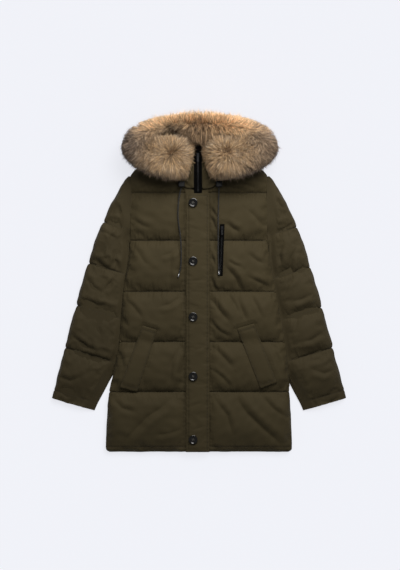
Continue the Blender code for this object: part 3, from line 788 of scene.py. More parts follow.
@dataclass
class Panel:
    """A padded panel made from its CAD solid's outline and height, then sewn and creased."""

    node: str
    rows: list[float]
    soft: tuple[float, float]  # how far in its two sides roll
    seams: tuple[Seam, ...] = ()
    creases: tuple[Crease, ...] = ()
    angle: float = 0.0
    heads: tuple[float, ...] = ()
    step: float = 6.0
    flat: tuple[float, float] | None = None  # held flat between these places across
    face_down: bool = False
    unevenness: float = 1.2
    cap: float = 5.0
    pressure: float = 4.0
    seed: int = 1
    shape: Surface = field(init=False)

    def __post_init__(self) -> None:
        """Read the CAD solid."""
        self.shape = Surface(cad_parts[self.node])

    def draft(self, across: np.ndarray, along: np.ndarray) -> tuple[np.ndarray, np.ndarray]:
        """Turn places across and along the panel into places on the draft."""
        c, s = math.cos(self.angle), math.sin(self.angle)
        return across * c + along * s, along * c - across * s

    def plan(self) -> np.ndarray:
        """Places across and along, rows by columns by 2."""
        spans = [self.shape.span(self.angle, row) for row in self.rows]
        widest = max(high - low for low, high in spans)
        shares = np.array(graded(widest, self.step, *self.soft))
        grid = [np.column_stack([low + (high - low) * shares, np.full(len(shares), row)])
                for row, (low, high) in zip(self.rows, spans)]
        if self.heads:
            last = grid[-1]
            inside = np.clip(last[:, 0], last[0, 0] + 0.6, last[-1, 0] - 0.6)
            tops = np.array([-self.shape.span(math.pi / 2, x)[0] for x in inside])
            for share in self.heads:
                grid.append(np.column_stack([last[:, 0], last[:, 1] + (tops - last[:, 1]) * share]))
        return np.array(grid)

    def heights(self, plan: np.ndarray, under: bool) -> np.ndarray:
        """The CAD solid's height at each place of the plan, with its facets smoothed away."""
        probe = plan.copy()
        probe[0] += 0.12 * (probe[1] - probe[0])
        probe[-1] += 0.12 * (probe[-2] - probe[-1])
        probe[:, 0] += 0.12 * (probe[:, 1] - probe[:, 0])
        probe[:, -1] += 0.12 * (probe[:, -2] - probe[:, -1])
        x, y = self.draft(probe[..., 0], probe[..., 1])
        look = self.shape.under if under else self.shape.top
        z = np.array([[look(px, py) for px, py in zip(*row)] for row in zip(x, y)])
        columns = np.arange(z.shape[1])
        for row in z:
            known = ~np.isnan(row)
            if known.any():
                row[:] = np.interp(columns, columns[known], row[known])
        lines, known = np.arange(len(z)), ~np.isnan(z[:, 0])
        for column in z.T:
            column[:] = np.interp(lines, lines[known], column[known])
        for _ in range(3):
            z[1:-1] = 0.25 * z[:-2] + 0.5 * z[1:-1] + 0.25 * z[2:]
        return z

    def points(self, plan: np.ndarray, z: np.ndarray) -> np.ndarray:
        """The plan and heights as places in metres in the row frame."""
        x, y = self.draft(plan[..., 0], plan[..., 1])
        return np.stack([x * MM, (y + DATUM_Y) * MM, z * MM], axis=-1)

    def held(self, plan: np.ndarray) -> np.ndarray:
        """How firmly each place is held while the cloth swells."""
        x, y = self.draft(plan[..., 0], plan[..., 1])
        xy = np.column_stack([x.ravel(), y.ravel()])
        hold = np.zeros(len(xy))
        for seam in self.seams:
            if seam.kind is not Sewing.TOPSTITCHED:
                hold = np.maximum(hold, polyline_reach(seam.points, xy)[0] < 3.2)
        hold = hold.reshape(plan.shape[:2])
        hold[0] = hold[-1] = 1
        hold[:, 0] = hold[:, -1] = 1
        if self.flat:
            across = plan[..., 0]
            hold[(across > self.flat[0]) & (across < self.flat[1])] = 1
        return hold.ravel()

    def work(self, bm: bmesh.types.BMesh, way: float = 1.0) -> np.ndarray:
        """Sew and crease a fine skin.

        Args:
            bm: the skin, whose vertices are moved along their normals.
            way: 1 for a face that looks up, -1 for one that looks down.

        Returns:
            How near each vertex is to sewing, 0 to 1.
        """
        bm.normal_update()
        co = np.array([v.co for v in bm.verts]) / MM
        normal = np.array([v.normal for v in bm.verts])
        xy = co[:, :2] - (0, DATUM_Y)
        rise, near = np.zeros(len(xy)), np.zeros(len(xy))
        for k, seam in enumerate(self.seams):
            height, close = seam.dip(xy, self.seed * 50 + k)
            rise += height
            near = np.maximum(near, close)
        for crease in self.creases:
            rise += crease.relief(xy)
        calm = np.ones(len(xy))
        if self.flat:
            calm[(xy[:, 0] > self.flat[0]) & (xy[:, 0] < self.flat[1])] = 0.25
        rise += self.unevenness * calm * (wander(xy, 75, self.seed) + 0.5 * wander(xy, 30, self.seed + 9))
        # the rim keeps its place, so neighbouring panels stay clear of each other
        facing = np.clip(normal[:, 2] * way, 0, 1) ** 0.5
        moved = co + normal * (rise * facing)[:, None]
        for vert, place_of in zip(bm.verts, moved * MM):
            vert.co = place_of
        return near

    def close(self, bm: bmesh.types.BMesh, level: float) -> None:
        """Close a skin with a wall straight down or up from its rim and a flat face at a level."""
        rim = [e for e in bm.edges if e.is_boundary]
        made = bmesh.ops.extrude_edge_only(bm, edges=rim)["geom"]
        for vert in (g for g in made if isinstance(g, bmesh.types.BMVert)):
            vert.co.z = level * MM
        bmesh.ops.holes_fill(bm, edges=[e for e in bm.edges if e.is_boundary], sides=0)
        bmesh.ops.triangulate(bm, faces=[f for f in bm.faces if len(f.verts) > 4])
        bmesh.ops.recalc_face_normals(bm, faces=bm.faces)

    def build(self, finish: bpy.types.Material) -> bpy.types.Object:
        """Make the panel."""
        plan = self.plan()
        z = self.heights(plan, self.face_down)
        bm = drape_grid(self.points(plan, z))
        if self.face_down:
            bmesh.ops.reverse_faces(bm, faces=bm.faces)
        else:
            relax(bm, self.held(plan), self.cap * MM, self.pressure)
        bm = finer(bm)
        near = self.work(bm, -1.0 if self.face_down else 1.0)
        for vert in bm.verts:
            vert.co.z = max(vert.co.z, 0.0)
        count = len(bm.verts)
        low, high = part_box(self.node)
        self.close(bm, high.z / MM if self.face_down else low.z / MM)
        return self.put(bm, near, count, finish)

    def put(self, bm: bmesh.types.BMesh, near: np.ndarray, count: int,
            finish: bpy.types.Material) -> bpy.types.Object:
        """Put the finished panel into the scene in place of its node."""
        total = len(bm.verts)
        made = add_piece(f"{self.node}_cloth", bm, finish, (self.node,))
        numbers = np.zeros(total)
        numbers[:count] = near
        mark(made, "seam", numbers)
        return made


@dataclass
class Sleeve(Panel):
    """A padded sleeve: a flattened tube with an open cuff."""

    side: str = "right"
    wall_side: float = 9.0
    wall_face: float = 5.0
    underarm: float = 52.0
    turn_in: float = 2.8
    shoulder_reach: float = 5.0
    inner_rows: int = 14

    def ring(self, low: float, high: float) -> list[tuple[float, bool]]:
        """Places across a row all the way round: along the upper face, then back along the under face."""
        inner, outer = (high, low) if self.side == "right" else (low, high)
        return [(inner + (outer - inner) * s, False) for s in self.over] + \
               [(inner + (outer - inner) * s, True) for s in self.beneath]

    def plan(self) -> np.ndarray:
        """Places across and along, with one more column for the under face's first place."""
        spans = [self.shape.span(self.angle, row) for row in self.rows]
        widest = max(high - low for low, high in spans)
        self.over = graded(widest, self.step, *self.soft)
        self.beneath = list(reversed(graded(widest, 1.6 * self.step, *self.soft)))[1:]
        self.facing_down = np.array([down for _, down in self.ring(0, 1)])
        plan = np.array([[(place_of, row) for place_of, _ in self.ring(low, high)]
                         for row, (low, high) in zip(self.rows, spans)])
        # sewn into the armhole, the cloth turns in a little way under the body's edge
        edge = plan[:, :1, 0]
        body = -SIGN[self.side] * np.where(np.array(self.rows) > self.underarm, self.turn_in, 0.0)[:, None]
        near = np.clip(1 - np.abs(plan[..., 0] - edge) / 12, 0, 1)
        plan[..., 0] += body * near
        plan[-3:, :, 1] += self.shoulder_reach * np.array((0.3, 0.65, 1.0))[:, None]
        return plan

    def heights(self, plan: np.ndarray, under: bool) -> np.ndarray:
        """Height all round each row."""
        top = super().heights(plan[:, :len(self.over)], False)
        low_plan = plan[:, len(self.over) - 1:]
        low = super().heights(low_plan, True)
        roof = Surface(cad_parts["back"])
        for j in range(top.shape[0]):
            for i in range(top.shape[1]):
                if abs(plan[j, i, 0] - plan[j, 0, 0]) > 30:
                    break
                x, y = self.draft(plan[j, i, 0], plan[j, i, 1])
                ceiling = roof.under(float(x), float(y))
                if not math.isnan(ceiling) and plan[j, i, 1] < self.underarm + 12:
                    top[j, i] = max(top[j, i], ceiling - 0.5)
        # along the armhole the cloth meets the body's edge, so that nothing shows between them
        inward = np.abs(plan[:, :len(self.over), 0] - plan[:, :1, 0])
        rows = plan[:, :1, 1]
        seam = smoothstep(52, 72, rows) * smoothstep(215, 185, rows) * (inward < 26)
        top = np.where(seam > 0, np.maximum(top, top * (1 - seam) + seam * (21.2 - 0.2 * inward)), top)
        edge = 0.5 * (top[:, -1] + low[:, 0])
        tuck = np.where(seam[:, 0] > 0.5, top[:, 0], 0.5 * (top[:, 0] + low[:, -1]))
        top[:, -1], top[:, 0], low[:, -1] = edge, tuck, tuck
        return np.concatenate([top, low[:, 1:]], axis=1)

    def held(self, plan: np.ndarray) -> np.ndarray:
        """Hold the seams, the ends and the edge under the body."""
        hold = super().held(plan).reshape(plan.shape[:2])
        hold[np.abs(plan[..., 0] - plan[:, :1, 0]) < 34] = 1
        outer = plan[:, len(self.over) - 1:len(self.over), 0]
        hold[np.abs(plan[..., 0] - outer) < 12] = 1
        return hold.ravel()

    def build(self, finish: bpy.types.Material) -> bpy.types.Object:
        """Make the sleeve."""
        plan = self.plan()
        points = self.points(plan, self.heights(plan, False))
        bm = drape_grid(points)
        relax(bm, self.held(plan), self.cap * MM, self.pressure, floor=0.0)
        bmesh.ops.remove_doubles(bm, verts=[v for v in bm.verts if v.is_boundary], dist=2e-5)
        bmesh.ops.recalc_face_normals(bm, faces=bm.faces)
        bm = finer(bm)
        near = self.work(bm)
        for vert in bm.verts:
            vert.co.z = max(vert.co.z, 0.0)
        count = len(bm.verts)
        self.line(bm, points)
        return self.put(bm, near, count, finish)

    def work(self, bm: bmesh.types.BMesh, way: float = 1.0) -> np.ndarray:
        """Sew and crease the tube all round, except where it lies under the body."""
        bm.normal_update()
        co = np.array([v.co for v in bm.verts]) / MM
        normal = np.array([v.normal for v in bm.verts])
        xy = co[:, :2] - (0, DATUM_Y)
        rise, near = np.zeros(len(xy)), np.zeros(len(xy))
        for k, seam in enumerate(self.seams):
            height, close = seam.dip(xy, self.seed * 50 + k)
            rise += height
            near = np.maximum(near, close)
        above = np.clip(normal[:, 2] + 0.2, 0, 1)
        for crease in self.creases:
            rise += crease.relief(xy) * above
        beneath = np.clip(-normal[:, 2], 0, 1)
        for crease in self.creases:
            mirrored = xy + (14.0, 37.0)
            rise += 0.8 * crease.relief(mirrored) * beneath
        rise += self.unevenness * (wander(xy, 75, self.seed) + 0.5 * wander(xy, 30, self.seed + 9))
        along = xy[:, 0] * math.sin(self.angle) + xy[:, 1] * math.cos(self.angle)
        across = xy[:, 0] * math.cos(self.angle) - xy[:, 1] * math.sin(self.angle)
        rows = np.array(self.rows)
        spans = np.array([self.shape.span(self.angle, row) for row in self.rows])
        inner = np.interp(along, rows, spans[:, 1] if self.side == "right" else spans[:, 0])
        free = smoothstep(20, 44, np.abs(across - inner))
        moved = co + normal * (rise * free)[:, None]
        for vert, place_of in zip(bm.verts, moved * MM):
            vert.co = place_of
        return near * free

    def line(self, bm: bmesh.types.BMesh, points: np.ndarray) -> None:
        """Give the tube its inner face, joined to it at both ends."""
        rims = [e for e in bm.edges if e.is_boundary]
        picks = np.unique(np.linspace(0, len(points) - 1, self.inner_rows).astype(int))
        ring = points[picks]
        c, s = math.cos(self.angle), math.sin(self.angle)
        across = ring[..., 0] * c - ring[..., 1] * s
        along = ring[..., 0] * s + ring[..., 1] * c
        low, high = across.min(1, keepdims=True), across.max(1, keepdims=True)
        middle, half = (low + high) / 2, (high - low) / 2
        across = middle + (across - middle) * np.maximum(0.35, 1 - self.wall_side * MM / half)
        top = ring[..., 2].max(1, keepdims=True)
        share = np.clip((top - 2 * self.wall_face * MM) / top, 0.2, 1)
        z = self.wall_face * MM * 0.8 + ring[..., 2] * share
        inner = np.stack([across * c + along * s, along * c - across * s, z], axis=-1)
        wall = drape_grid(inner[::-1])
        bmesh.ops.remove_doubles(wall, verts=[v for v in wall.verts if v.is_boundary], dist=2e-5)
        mesh = bpy.data.meshes.new("inner wall")
        wall.to_mesh(mesh)
        wall.free()
        before = set(bm.edges)
        bm.from_mesh(mesh)
        bpy.data.meshes.remove(mesh)
        inner_rims = [e for e in bm.edges if e not in before and e.is_boundary]
        axis = Vector((s, c, 0))

        def part(edges: list, far: bool) -> list:
            """The rim edges at one end of the arm."""
            spots = [e.verts[0].co.dot(axis) for e in edges]
            split = (max(spots) + min(spots)) / 2
            return [e for e, spot in zip(edges, spots) if (spot > split) == far]

        for far in (True, False):
            bmesh.ops.bridge_loops(bm, edges=part(rims, far) + part(inner_rims, far))
        bmesh.ops.recalc_face_normals(bm, faces=bm.faces)


@dataclass
class Refined:
    """A piece that keeps its CAD solid's form and gets finer, softer and sewn."""

    node: str
    cuts: int = 2
    smoothing: int = 2
    seams: tuple[Seam, ...] = ()
    creases: tuple[Crease, ...] = ()
    unevenness: float = 0.6
    seed: int = 5
    all_round: bool = False

    def build(self, finish: bpy.types.Material, slot: str = "shell",
              longest: float = 9.0) -> bpy.types.Object:
        """Make the piece."""
        bm = bmesh.new()
        bm.from_mesh(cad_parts[self.node].data)
        bmesh.ops.remove_doubles(bm, verts=bm.verts, dist=1e-6)
        for _ in range(self.cuts):
            long = [e for e in bm.edges if e.calc_length() > longest * MM]
            if long:
                bmesh.ops.subdivide_edges(bm, edges=long, cuts=1, use_grid_fill=True, smooth=0.0)
                bmesh.ops.triangulate(bm, faces=[f for f in bm.faces if len(f.verts) > 3])
        for _ in range(self.smoothing):
            bmesh.ops.smooth_vert(bm, verts=bm.verts, factor=0.5, use_axis_x=True, use_axis_y=True,
                                  use_axis_z=True)
        bm.normal_update()
        co = np.array([v.co for v in bm.verts]) / MM
        normal = np.array([v.normal for v in bm.verts])
        xy = co[:, :2] - (0, DATUM_Y)
        rise = self.unevenness * wander(xy, 40, self.seed) - 0.2
        near = np.zeros(len(xy))
        for k, seam in enumerate(self.seams):
            height, close = seam.dip(xy, self.seed * 50 + k)
            rise += height
            near = np.maximum(near, close)
        for crease in self.creases:
            rise += crease.relief(xy)
        facing = np.clip(normal[:, 2], 0, 1)
        if self.all_round:
            turn = np.column_stack([240 * np.arctan2(co[:, 1] - 420, co[:, 0]), co[:, 2] * 1.6])
            wall = np.clip(1 - np.abs(normal[:, 2]), 0, 1)
            rise += wall * (1.6 * wander(turn, 34, self.seed + 3) - 3.2 * np.exp(-((co[:,
                2] - 27) / 5) ** 2) - 1.5)
            facing = np.maximum(facing, wall)
        for vert, place_of in zip(bm.verts, (co + normal * (rise * facing)[:, None]) * MM):
            vert.co = place_of
        made = add_piece(f"{self.node}_cloth", bm, finish, (self.node,))
        mark(made, "seam", near)
        return made


@dataclass
class Stitching:
    """Rows of real thread laid along seams."""

    pitch: float = 4.4
    length: float = 3.2
    thick: float = 0.75

    def matrices(self, seam: Seam, height: Callable[[float, float], float], below: bool) -> list[Matrix]:
        """Where each stitch of a seam lies."""
        found = []
        for a, b in zip(seam.points, seam.points[1:]):
            run = math.dist(a, b)
            count = int(run / self.pitch)
            for k in range(count):
                ends = []
                for place_of in ((k + 0.14) / count, (k + 0.86) / count):
                    x, y = (p + (q - p) * place_of for p, q in zip(a, b))
                    ends.append((x, y, height(x, y)))
                if any(math.isnan(end[2]) for end in ends):
                    continue
                start, stop = (place(*end) for end in ends)
                if abs(start.z - stop.z) > 2.4 * MM:
                    continue
                along = (stop - start).normalized()
                side = Vector((0, 0, 1)).cross(along).normalized()
                up = along.cross(side)
                middle = (start + stop) / 2 + up * (0.1 * MM * (-1 if below else 1))
                turn = Matrix((along, side, up)).transposed().to_4x4()
                found.append(Matrix.Translation(middle) @ turn)
        return found

    def sew(self, name: str, on: Sequence[bpy.types.Object], seams: Iterable[Seam],
            finish: bpy.types.Material,
            below: bool = False) -> None:
        """Sew some seams with visible thread.

        Args:
            name: the piece's name.
            on: the cloth that the thread lies on.
            seams: the lines.
            finish: the thread.
            below: True for a face that looks down.
        """
        cloth = Surface(*on)
        found = []
        for seam in seams:
            found += self.matrices(seam, cloth.under if below else cloth.top, below)
        stitch = bmesh.new()
        bmesh.ops.create_icosphere(stitch, subdivisions=1, radius=0.5)
        bmesh.ops.scale(stitch, vec=(self.length * MM, self.thick * MM, self.thick * MM), verts=stitch.verts)
        add_piece(name, repeated(stitch, found), finish)


# ---------------------------------------------------------------- fur

class Ruff:
    """The long hair round the hood's opening, grown from a woolly core inside the CAD ring."""

    def __init__(self, strands: int = 62000, seed: int = 11) -> None:
        """Read the CAD ring."""
        self.strands = strands
        self.draw = np.random.default_rng(seed)
        bm = bmesh.new()
        bm.from_mesh(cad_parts["fur_trim"].data)
        bmesh.ops.remove_doubles(bm, verts=bm.verts, dist=1e-6)
        bmesh.ops.triangulate(bm, faces=bm.faces)
        bmesh.ops.recalc_face_normals(bm, faces=bm.faces)
        bm.normal_update()
        self.shell = bm
        self.hearts = (np.array((-77.0, 407.0)), np.array((77.0, 415.0)))  # the hair lies out from these

    def core(self, finish: bpy.types.Material) -> bpy.types.Object:
        """The woolly ground."""
        bm = self.shell.copy()
        bmesh.ops.subdivide_edges(bm, edges=bm.edges, cuts=2, use_grid_fill=True)
        bmesh.ops.triangulate(bm, faces=[f for f in bm.faces if len(f.verts) > 3])
        for _ in range(4):
            bmesh.ops.smooth_vert(bm, verts=bm.verts, factor=0.5, use_axis_x=True, use_axis_y=True,
                                  use_axis_z=True)
        bm.normal_update()
        co = np.array([v.co for v in bm.verts]) / MM
        normal = np.array([v.normal for v in bm.verts])
        tufts = wander(co[:, :2] * 1.0 + co[:, 2:] * 0.7, 13, 3)
        moved = co + normal * (-21.0 + 2.5 * tufts)[:, None]
        for vert, place_of in zip(bm.verts, moved * MM):
            vert.co = place_of
        return add_piece("fur_core", bm, finish, ("fur_trim",))

    def roots(self) -> tuple[np.ndarray, np.ndarray]:
        """Places on the CAD ring, evenly spread, and the ring's normals there."""
        faces = self.shell.faces
        areas = np.array([f.calc_area() for f in faces])
        corners = np.array([[v.co for v in f.verts] for f in faces]) / MM
        corner_normals = np.array([[v.normal for v in f.verts] for f in faces])
        flat = np.array([f.normal for f in faces])
        weight = areas * (1.0 + 0.9 * np.clip(flat[:, 2], -0.7, 1))
        pick = self.draw.choice(len(areas), self.strands, p=weight / weight.sum())
        r1, r2 = np.sqrt(self.draw.random(self.strands)), self.draw.random(self.strands)
        mix = np.stack([1 - r1, r1 * (1 - r2), r1 * r2], axis=1)[..., None]
        return (corners[pick] * mix).sum(1), (corner_normals[pick] * mix).sum(1)

    def crest(self) -> np.ndarray:
        """The line that the hair parts from, on the draft: round the ring from one lobe's end to the other's."""
        corners = np.array(((-55, 380), (-95, 386), (-140, 404), (-176, 428), (-190, 455), (-165, 478),
                            (-110, 484),
                            (-50, 480), (0, 474), (50, 479), (110, 484), (170, 478), (194, 455), (184, 430),
                            (150, 405), (105, 388), (60, 384)), float)
        share = np.linspace(0, len(corners) - 1, 160)
        return np.column_stack([np.interp(share, np.arange(len(corners)), corners[:, k]) for k in (0, 1)])

    def comb(self, where: np.ndarray, normal: np.ndarray) -> np.ndarray:
        """The way the hair lies at each root: away from the parting, along the skin."""
        crest = self.crest()
        xy = where[:, :2] - (0, DATUM_Y)
        gap = xy[:, None, :] - crest[None, :, :]
        nearest = np.argmin((gap ** 2).sum(-1), axis=1)
        away = xy - crest[nearest]
        away /= np.maximum(np.linalg.norm(away, axis=1), 30.0)[:, None]
        bare = (1 - np.minimum(np.linalg.norm(away, axis=1), 1))[:, None]
        trend = np.gradient(crest, axis=0)[nearest]
        trend /= np.linalg.norm(trend, axis=1)[:, None]
        to_end = np.tanh((nearest - len(crest) / 2 + self.draw.normal(0, 9, len(nearest))) / 14)[:, None]
        flow = np.column_stack([away + 0.75 * bare * to_end * trend, np.full(len(away), -0.25)])
        for heart in self.hearts:
            out = xy - heart + self.draw.normal(0, 13, xy.shape)
            far = np.linalg.norm(out, axis=1)[:, None]
            share = np.exp(-(far / 82) ** 2) * smoothstep(470, 445, xy[:, 1])[:, None]
            flow[:, :2] = flow[:, :2] * (1 - share) + out / np.maximum(far, 34) * share
        flow -= normal * (flow * normal).sum(1)[:, None]
        return flow / np.maximum(np.linalg.norm(flow, axis=1), 0.8)[:, None]

    def paint(self, xy: np.ndarray, clump: np.ndarray, steps: np.ndarray) -> np.ndarray:
        """Colour of each strand at each step from root to tip."""
        n = len(xy)
        golden, tan = np.array((0.66, 0.44, 0.235)), np.array((0.36, 0.245, 0.155))
        brown, dark = np.array((0.17, 0.098, 0.058)), np.array((0.035, 0.026, 0.023))
        pale, ash = np.array((0.70, 0.56, 0.41)), np.array((0.21, 0.175, 0.16))
        per_clump = np.random.default_rng(5).random((clump.max() + 1, 3))[clump]
        own, luck = self.draw.random(n), np.random.default_rng(6).random((n, 2))
        outskirts = np.clip(np.hypot((xy[:, 0] - 3) / 240, (xy[:, 1] - 425) / 106) - 0.62, 0, 1) / 0.38
        glow = np.max([np.exp(-(((xy - heart) ** 2).sum(1)) / 70 ** 2) for heart in self.hearts], axis=0)
        lower_left = smoothstep(60, 200, xy[:, 0]) * smoothstep(420, 350, xy[:, 1])
        back = smoothstep(462, 486, xy[:, 1])
        far_right = smoothstep(-150, -215, xy[:, 0])
        middle = np.exp(-((xy[:, 0] + 5) / 60) ** 2) * smoothstep(425, 450, xy[:, 1]) \
            * smoothstep(505, 470, xy[:, 1])
        streak = np.exp(-(((xy[:, 0] - 165) - 0.9 * (xy[:, 1] - 478)) / 12) ** 2) * smoothstep(440, 470,
            xy[:, 1])
        streak += np.exp(-(((xy[:, 0] + 5) + 0.4 * (xy[:, 1] - 500)) / 9) ** 2) * smoothstep(470, 490, xy[:,
            1])
        # hollow: a dip in the ruff where the hair is shorter; its hair gets painted shade
        hollow = np.exp(-(((xy[:, 0] + 76) / 66) ** 2 + ((xy[:, 1] - 468) / 22) ** 2) ** 2)[:, None]
        warm = np.clip(0.14 + 0.55 * glow + 0.18 * per_clump[:,
                                                             0] + 0.30 * back - 0.4 * far_right + 0.30 * own,
                       0, 1)[:, None]
        body = tan * (1 - warm) + golden * warm
        grey = (0.55 * np.clip(outskirts + 0.4 * lower_left, 0, 1) * (1 - 0.6 * back))[:, None]
        body = body * (1 - grey) + ash * grey
        body = body * (1 + 0.95 * back)[:, None] * (1 - 0.66 * middle[:, None]) + brown * 0.66 * middle[:,
            None]
        # painted shade: the hair in the hollow is pulled towards near black
        body = body * (1 - 0.72 * hollow) + dark * 1.6 * 0.72 * hollow
        often = 0.16 + 0.26 * outskirts + 0.30 * lower_left + 0.30 * far_right - 0.16 * glow
        dark_tip = np.clip((0.4 * per_clump[:, 1] + 0.6 * luck[:, 0] < often) * 0.9 + streak, 0, 1)
        tip = np.where((0.4 * per_clump[:, 2] + 0.6 * luck[:, 1] < 0.22 + 0.3 * glow)[:, None], pale,
                       body * 1.05)
        tip = tip * (1 - dark_tip[:, None]) + (dark * 0.6 + ash * 0.4) * dark_tip[:, None]
        colours = []
        for s in steps:
            root = 0.75 * float(smoothstep(0.45, 0.08, s))
            end = float(smoothstep(0.55, 0.95, s))
            colour = body * (1 - root) + brown * root
            colour = colour * (1 - end) + tip * end
            colours.append(colour * (0.44 + 0.80 * own * own + 0.16 * own)[:, None])
        return np.stack(colours, axis=1)

    def grow(self, finish: bpy.types.Material) -> list[bpy.types.Object]:
        """Grow the hair in four pieces, by quarter of the ring."""
        skin, normal = self.roots()
        normal /= np.linalg.norm(normal, axis=1)[:, None]
        flow = self.comb(skin, normal)
        n = len(skin)
        cell = np.floor(skin / 11.0 + self.draw.normal(0, 0.28, (n, 3))).astype(int)
        _, clump = np.unique(cell @ np.array((1, 1009, 1000003)), return_inverse=True)
        clump = clump.ravel()
        heart = np.zeros((clump.max() + 1, 3))
        np.add.at(heart, clump, skin)
        heart /= np.bincount(clump)[:, None]
        lean = np.random.default_rng(8).normal(0, 0.19, (clump.max() + 1, 3))[clump]
        length = self.draw.uniform(28, 47, n) * (1 + 0.10 * self.draw.normal(size=n))
        xy = skin[:, :2] - (0, DATUM_Y)
        hollow = np.exp(-(((xy[:, 0] + 76) / 62) ** 2 + ((xy[:, 1] - 468) / 20) ** 2) ** 2)
        length *= 1 - 0.45 * hollow
        outer = smoothstep(0.75, 1.0, np.hypot((xy[:, 0] - 3) / 240, (xy[:, 1] - 425) / 106))
        hanging = np.exp(-(((xy[:, 0] + 8) / 40) ** 2) ** 2) * (flow[:, 1] < 0) * (xy[:, 1] > 436)
        length *= 1 + 0.9 * hanging
        depth = self.draw.uniform(20, 25, n)
        root = skin - normal * depth[:, None]
        lift = (self.draw.normal(0.66, 0.10, n) - 0.16 * outer)[:, None]
        way = normal * lift + flow * 0.85 + lean + self.draw.normal(0, 0.10, (n, 3))
        way /= np.linalg.norm(way, axis=1)[:, None]
        droop = flow * 0.30 + np.array((0, 0, -0.34)) * (1.0 - 0.4 * np.clip(normal[:, 2:], 0, 1))
        steps = np.array((0.0, 0.28, 0.54, 0.78, 1.0))
        path = np.stack([root + way * (length * s)[:, None] + droop * (length * s * s * 0.55)[:, None]
                         for s in steps], axis=1)
        # tips of a tuft draw together
        tip_of = np.zeros((clump.max() + 1, 3))
        np.add.at(tip_of, clump, path[:, -1])
        tip_of /= np.bincount(clump)[:, None]
        pull = (0.46 * smoothstep(0.15, 1.0, steps))[None, :, None]
        centre_line = np.array([heart[clump]] * len(steps)).transpose(1, 0, 2)
        target = centre_line + (tip_of[clump][:, None] - centre_line) * steps[None, :, None]
        path = path * (1 - pull) + (target * 0.9 + path * 0.1) * pull
        loose = np.random.default_rng(14)
        stray = loose.random((n, 1)) < 0.10 + 0.30 * (loose.random((clump.max() + 1, 1))[clump] < 0.3)
        path = self.clear(path, np.where(stray, loose.uniform(0.5, 1.05, (n, 1)), loose.uniform(-0.05, 0.38,
            (n, 1))))
        across = np.cross(path[:, -1] - path[:, 0], normal + self.draw.normal(0, 0.35, (n, 3)))
        across /= np.maximum(np.linalg.norm(across, axis=1), 1e-6)[:, None]
        width = self.draw.uniform(0.36, 0.62, n)[:, None, None] * np.array((1.0, 1.1, 0.95, 0.6))[None, :,
            None]
        left = path[:, :4] - across[:, None] * width
        right = path[:, :4] + across[:, None] * width
        corners = np.concatenate([np.stack([left, right], 2).reshape(n, 8, 3), path[:, 4:]], axis=1) * MM
        colour = self.paint(skin[:, :2] - (0, DATUM_Y), clump, steps)
        tint = np.concatenate([np.repeat(colour[:, :4], 2, axis=1), colour[:, 4:]], axis=1)
        quarter = (xy[:, 0] > 3).astype(int) + 2 * (xy[:, 1] > 430)
        names = ("fur_lobe_right", "fur_lobe_left", "fur_back_right", "fur_back_left")
        return [self.piece(name, corners[quarter == k], tint[quarter == k], finish)
                for k, name in enumerate(names)]

    def clear(self, path: np.ndarray, loose: np.ndarray) -> np.ndarray:
        """Keep the hair out of the opening at the zip, and above the shoulders and what the coat lies on.

        Args:
            path: each strand's points in millimetres in the row frame.
            loose: how freely each strand stands past the ring's outline, 0 to 1.

        Returns:
            The points, moved.
        """
        y = path[..., 1] - DATUM_Y
        widen = smoothstep(428, 335, y)
        open_here = smoothstep(440, 424, y)
        ragged = self.draw.normal(0, 5.5, (len(path), 1))
        for side, edge in ((-1, 16 + 23 * widen), (1, 12 + 26 * widen)):
            over = edge + ragged - side * path[..., 0]
            lobe = (side * path[:, :1, 0] > 0) & (over > 0)
            path[..., 0] = np.where(lobe, path[..., 0] + side * over * 0.85 * open_here, path[..., 0])
        power = 2 + 0.7 * smoothstep(425, 470, y)
        tall = 106 - 8 * smoothstep(425, 470, y)
        reach = (np.abs((path[..., 0] - 3) / 240) ** power + np.abs((y - 425) / tall) ** power) ** (1 / power)
        shrink = np.where(reach > 1, (1 + (reach - 1) * loose) / np.maximum(reach, 1), 1.0)
        path[..., 0] = 3 + (path[..., 0] - 3) * shrink
        y = 425 + (y - 425) * shrink
        path[..., 1] = y + DATUM_Y
        path[..., 2] = np.minimum(path[..., 2], 140 + 0.4 * (path[..., 2] - 140))
        low = np.where(np.abs(path[..., 0]) < 250, 50.0, 6.0)
        low = np.where(y > 505, 12.0, low)
        path[..., 2] = np.where(path[..., 2] < low, low + 0.25 * (path[..., 2] - low).clip(-12), path[..., 2])
        return path

    def piece(self, name: str, corners: np.ndarray, tint: np.ndarray,
              finish: bpy.types.Material) -> bpy.types.Object:
        """Make one piece of hair from its strands' corners."""
        count = len(corners)
        blade = np.array(((0, 1, 3), (0, 3, 2), (2, 3, 5), (2, 5, 4), (4, 5, 7), (4, 7, 6), (6, 7, 8)))
        faces = (blade[None] + 9 * np.arange(count)[:, None, None]).reshape(-1, 3)
        mesh = bpy.data.meshes.new(name)
        mesh.vertices.add(count * 9)
        mesh.vertices.foreach_set("co", corners.reshape(-1).astype(np.float32))
        mesh.loops.add(faces.size)
        mesh.loops.foreach_set("vertex_index", faces.reshape(-1).astype(np.int32))
        mesh.polygons.add(len(faces))
        mesh.polygons.foreach_set("loop_start", np.arange(0, faces.size, 3, dtype=np.int32))
        mesh.update(calc_edges=True)
        mesh.validate()
        layer = mesh.color_attributes.new("tint", "FLOAT_COLOR", "POINT")
        layer.data.foreach_set("color", np.concatenate([tint.reshape(-1, 3), np.ones((count * 9, 1))],
                                                       axis=1).reshape(-1).astype(np.float32))
        side = math.ceil(math.sqrt(count))
        u = np.array((0.2, 0.8) * 4 + (0.5,))
        v = np.array((0.08, 0.08, 0.3, 0.3, 0.52, 0.52, 0.74, 0.74, 0.94))
        cells = np.arange(count)
        uv = np.stack([(cells[:, None] % side + u) / side, (cells[:, None] // side + v) / side],
                      -1).reshape(-1, 2)
        mesh.uv_layers.new(name="strands").data.foreach_set("uv", uv[faces.reshape(-1)].reshape(-1))
        mesh.materials.append(finish)
        mesh.shade_smooth()
